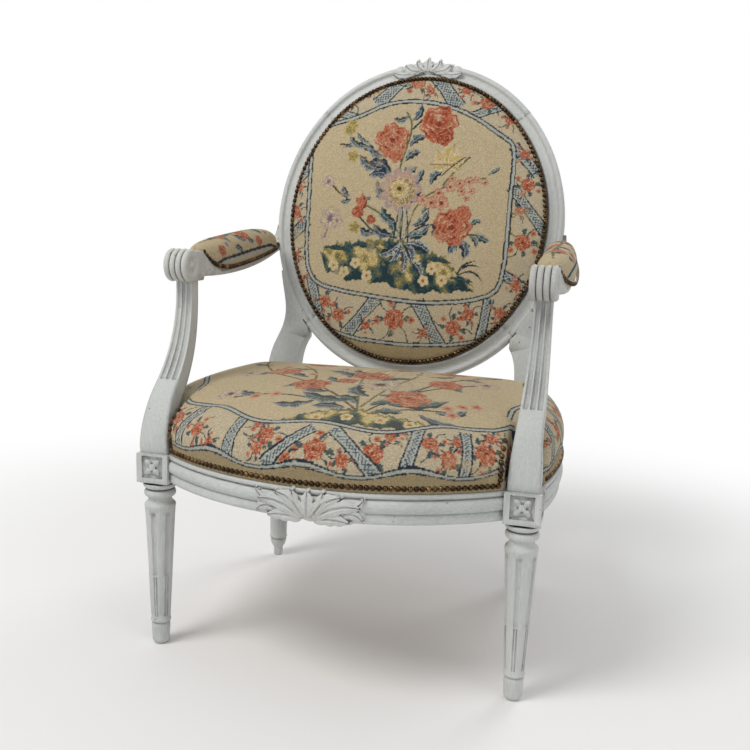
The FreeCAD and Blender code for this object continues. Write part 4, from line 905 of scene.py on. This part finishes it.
def seatSkirt():
    # the nailed lower edge of the cover, which fills the corners beside the arm supports
    skirt = merged("seat_cover")
    above = bmesh.ops.bisect_plane(skirt, geom=skirt.verts[:] + skirt.edges[:] + skirt.faces[:],
                                   clear_outer=True, plane_co=(0, 0, seatCushion["skirtTop"]),
                                           plane_no=(0, 0, 1))
    rim = [e for e in above["geom_cut"] if isinstance(e, bmesh.types.BMEdge)]
    bmesh.ops.holes_fill(skirt, edges=rim, sides=0)
    return evaluated(asMesh(skirt, "skirt"),
            ("REMESH", dict(mode="VOXEL", voxel_size=seatCushion["skirtCell"])))


def makeSeat():
    mesh = puffed("seat_stuffing", seatCushion, seatHeld)
    mesh = divided(mesh, lambda middles, normals: (normals[:, 2] > -0.3) & (normals[:, 1] < 0.6)
                   & (middles[:, 2] > 0.304))
    both = bmesh.new()
    both.from_mesh(mesh)
    both.from_mesh(seatSkirt())
    mesh = asMesh(both, "seat")
    seatPicture(mesh)
    piece = shown(mesh, "seatCushion", needlepoint, ["seat_stuffing", "seat_cover"], sharp=0)
    print("seat cushion:", len(mesh.vertices), "points")


makeSeat()


# the arm pads
armPad = dict(cell=0.0035, grow=0.0024, stiff=18, pressure=4.0, cap=0.0020)


def padPicture(mesh, side):
    co = points(mesh)
    along = (co[:, 1] + 0.222) * 100 - 27
    across = (co[:, 0] * side - 0.272) * 100
    top = np.interp(along, (-15, -9, 0, 10, 16), (0.600, 0.610, 0.618, 0.624, 0.620))
    over = np.copysign(abs(across) + np.clip(top - co[:, 2], 0, 0.05) * 80, across)
    clothMap(mesh, over / 100, along / 100)
    w = Needlework(over, along, wool["ground"])
    for x0, y0, x1, y1, wide, bend in (
            (0, -10, 2.4, -6.5, 1.6, 0.2), (0, -8, -2.6, -5, 1.5, -0.2), (0.3, -3, 3, -1, 1.6, 0.2),
            (0, -2, -3, 0.6, 1.5, 0.1),
            (0.2, 3, 2.8, 6, 1.5, 0.2), (0, 5, -2.6, 8, 1.6, -0.2), (0.6, -6, 0.2, -2.6, 1.3, 0.1),
            (-1.6, 1.5, -3.6, 3.5, 1.2, 0.2),
            (3.4, 2, 5, 4.6, 1.3, 0.2), (-3.6, -4.4, -5.2, -1.8, 1.3, -0.2), (0, 8.6, 2, 11.6, 1.4, 0.2),
            (3.2, -8.4, 4.6, -5.4, 1.2, 0.2)):
        w.leaf(x0, y0, x1, y1, wide, bend, ("navy", "blue", "pale") if (x0 + y1) % 2 > 1 else ("teal", "sea",
                "pale"))
    w.stroke([(0.4, -12.5), (-0.4, -5), (0.6, 2), (-0.2, 9), (0.4, 12.5)], 0.36, "moss")
    for x, y, size in ((0.6, -6, 1.7), (-1, 1.2, 1.9), (1.2, 7.4, 1.6), (3.4, -3.6, 1.2), (-3.6, 5.4, 1.2),
            (3.8, 9.4, 1.1), (-3.4, -9.2, 1.2)):
        w.rose(x, y, size)
    for x, y, size in ((2.6, 3.8, 1.3), (-2.6, -6.8, 1.1), (-2, 9.8, 1.1)):
        w.daisy(x, y, size, 7, ("mauve", "lilac", "cream"), "brown", 0.35)
    edge = abs(over) > 4.9
    w.dyed[edge] = wool["border"]
    w.dyed[abs(abs(over) - 4.9) < 0.22] = wool["navy"]
    w.dyed[abs(abs(over) - 5.3) < 0.15] = wool["ice"]
    w.finish(mesh)


def padHeld(co):
    wood = np.interp(co[:, 1], (-0.102, -0.05, 0.09, 0.212), (0.585, 0.562, 0.568, 0.588))
    return np.clip((wood + 0.013 - co[:, 2]) / 0.006, 0, 1)


def makePads():
    for word, side in (("right", 1), ("left", -1)):
        mesh = puffed("arm_pad_stuffing_" + word, armPad, padHeld)
        padPicture(mesh, side)
        piece = shown(mesh, "armPad_" + word, needlepoint,
                      ["arm_pad_stuffing_" + word, "arm_pad_cover_" + word], sharp=0)
    print("arm pads made")


makePads()


# the outside of the back, and the cloth and webbing inside
innerCloth = dict(plain_linen=(linen, ["back_outside_cover"]),
        hessian=(sacking, ["seat_hessian", "back_hessian"]),
                  jute_webbing=(jute, ["seat_webbing_lengthwise", "seat_webbing_crosswise", "back_webbing"]))

for slot, (material, names) in innerCloth.items():
    for name in names:
        shown(asMesh(merged(name), name), name + "_cloth", material, [name])
print("inner cloth dressed")


# carved leaves, laid on the wood
carving = dict(thick=0.0060, grid=(12, 20), railHeight=0.281, crestHeight=0.2835, crestRadius=0.255)
leafSpray = dict(  # across, up, to tip across, up, width, lift, bend, curl
    rail=[(0.000, -0.018, 0.000, 0.019, 0.018, 0.0050, 0.0, 0.3),
          (0.003, -0.017, 0.021, 0.019, 0.017, 0.0050, -0.10, 0.5),
          (0.005, -0.017, 0.044, 0.015, 0.019, 0.0054, 0.12, 0.7),
          (0.007, -0.018, 0.070, 0.002, 0.020, 0.0056, 0.12, 0.8),
          (0.007, -0.019, 0.056, -0.019, 0.016, 0.0046, 0.06, 0.7),
          (0.044, 0.002, 0.074, 0.014, 0.012, 0.0044, -0.2, 0.8),
          (0.046, -0.010, 0.073, -0.015, 0.012, 0.0040, 0.2, 0.8)],
    crest=[(0.000, -0.011, 0.000, 0.012, 0.017, 0.0048, 0.0, 0.4),
           (0.003, -0.010, 0.021, 0.010, 0.014, 0.0046, -0.2, 0.5),
           (0.008, -0.009, 0.042, 0.005, 0.014, 0.0044, -0.18, 0.6),
           (0.016, -0.009, 0.064, -0.004, 0.012, 0.0038, -0.14, 0.5)])


def carvedLeaf(bm, leaf, place, side, base):
    # a blade with scalloped edges, a grooved middle and a tip that curls up
    x0, y0, x1, y1, width, lift, bend, curl = leaf
    long = math.hypot(x1 - x0, y1 - y0)
    ux, uy = (x1 - x0) / long, (y1 - y0) / long
    cells = carving["grid"]
    for v in bmesh.ops.create_grid(bm, x_segments=cells[0], y_segments=cells[1], size=1)["verts"]:
        s, t = v.co.x, (v.co.y + 1) / 2
        scallop = 0.86 + 0.34 * abs(math.sin(t * math.pi * 3.6)) * min(1, 3 * (1 - t) + 0.2)
        half = width / 2 * math.sin(math.pi * min(1, 0.10 + 0.90 * t)) ** 0.62 * scallop + 0.0006
        sweep = bend * long * 4 * t * (1 - t)
        across = sweep + s * half
        along = t * long + abs(s) * half * 0.45
        ridge = math.exp(-(s / 0.14) ** 2) * -0.45 + 0.36 * abs(math.sin(s * 6.2)) * (1 - t * 0.4)
        out = lift * (0.35 + 0.65 * math.sin(math.pi * min(1,
                t * 0.92)) ** 0.6) * (0.72 + ridge) * (1 - 0.78 * s ** 4)
        out += lift * curl * max(0, t - 0.72) ** 2 * 8 * (1 - abs(s) * 0.4)
        v.co = place(side * (x0 + ux * along - uy * across), y0 + uy * along + ux * across, base + out)


def carvedSpray(title, leaves, place, base):
    bm = bmesh.new()
    for k, leaf in enumerate(leaves):
        for side in ((1, -1) if leaf[0] or leaf[2] else (1,)):
            carvedLeaf(bm, leaf, place, side, base - 0.0002 * k)
    bmesh.ops.recalc_face_normals(bm, faces=bm.faces)
    out = Vector(place(0, 0, 1)) - Vector(place(0, 0, 0))
    outward = sum(f.normal.dot(out) for f in bm.faces)
    if outward < 0:
        bmesh.ops.reverse_faces(bm, faces=bm.faces)
    bmesh.ops.solidify(bm, geom=bm.faces, thickness=carving["thick"])
    mesh = evaluated(asMesh(bm, title), ("SUBSURF", dict(levels=1, render_levels=1)))
    shown(mesh, title, carvedPaint, sharp=0)


def onRail(x, y, out):
    _, cy, radius = throughThree(*arcs["front"])
    angle = x / radius
    return ((radius + out) * math.sin(angle), cy - (radius + out) * math.cos(angle),
            carving["railHeight"] + y)


def onCrest(x, y, out):
    radius = carving["crestRadius"]
    rise = carving["crestHeight"] + y - radius * (1 - math.cos(x / radius))
    return backPlace @ Vector((radius * math.sin(x / radius), -out, rise))


# the carving's grime and painted shade reach a narrower way into its hollows
carvedPaint = paintedWood("greyPaintCarved", streaks=(6, 6, 6), dirtNear=0.005, rub=0.12)
carvedSpray("railLeaves", leafSpray["rail"], onRail, 0.0035)
carvedSpray("crestLeaves", leafSpray["crest"], onCrest, 0.0030)
print("carving done")


# floor, background and lamps
studio = dict(floor=0.86, ambient=0.56, key=62, fill=9, rim=24)


def lamp(title, place, aim, size, power, colour=(1, 1, 1)):
    light = bpy.data.lights.new(title, "AREA")
    light.shape, light.size, light.energy, light.color = "DISK", size, power, colour
    holder = bpy.data.objects.new(title, light)
    holder.location = place
    holder.rotation_euler = (Vector(aim) - Vector(place)).to_track_quat("-Z", "Y").to_euler()
    bpy.context.scene.collection.objects.link(holder)


def stageFloor():
    bm = bmesh.new()
    bmesh.ops.create_circle(bm, cap_ends=True, segments=64, radius=9)
    mesh = asMesh(bm, "floor")
    f = Finish("paleFloor")
    seen = f.node("LightPath")
    far = f.node("VectorMath", dict(operation="LENGTH"), {0: f.place}, out=1).fade(0.6, 1.5)
    lit = f.node("BsdfDiffuse", inputs={"Color": (studio["floor"],) * 3})
    glow = f.node("Emission", inputs={"Color": (1, 1, 1), "Strength": 1.0})
    blend = f.node("MixShader", inputs={0: far * seen, 1: lit, 2: glow})
    f.tree.links.new(blend.socket, f.tree.nodes["Material Output"].inputs["Surface"])
    mesh.materials.append(f.material)
    floor = bpy.data.objects.new("floor", mesh)
    bpy.context.scene.collection.objects.link(floor)
    world = bpy.data.worlds.new("studio")
    bpy.context.scene.world = world
    world.use_nodes = True
    tree = world.node_tree
    tree.nodes.clear()
    path, plain, white, either, both, out = (tree.nodes.new("ShaderNode" + kind) for kind in (
        "LightPath", "Background", "Background", "Math", "MixShader", "OutputWorld"))
    for sky, strength in ((plain, studio["ambient"]), (white, 1.0)):
        sky.inputs["Color"].default_value = (1, 1, 1, 1)
        sky.inputs["Strength"].default_value = strength
    either.operation = "MAXIMUM"
    for start, end in ((path.outputs["Is Camera Ray"], either.inputs[0]),
                       (path.outputs["Is Glossy Ray"], either.inputs[1]),
                       (either.outputs[0], both.inputs[0]), (plain.outputs[0], both.inputs[1]),
                       (white.outputs[0], both.inputs[2]), (both.outputs[0], out.inputs["Surface"])):
        tree.links.new(start, end)


stageFloor()
lamp("keyLamp", (-1.4, -1.7, 3.2), (0, 0, 0.45), 1.5, studio["key"], (1, 0.985, 0.96))
lamp("fillLamp", (2.6, -2.0, 1.6), (0, 0, 0.5), 2.0, studio["fill"])
lamp("rimLamp", (1.2, 2.6, 2.4), (0, 0.1, 0.6), 1.6, studio["rim"])
print("studio lit")
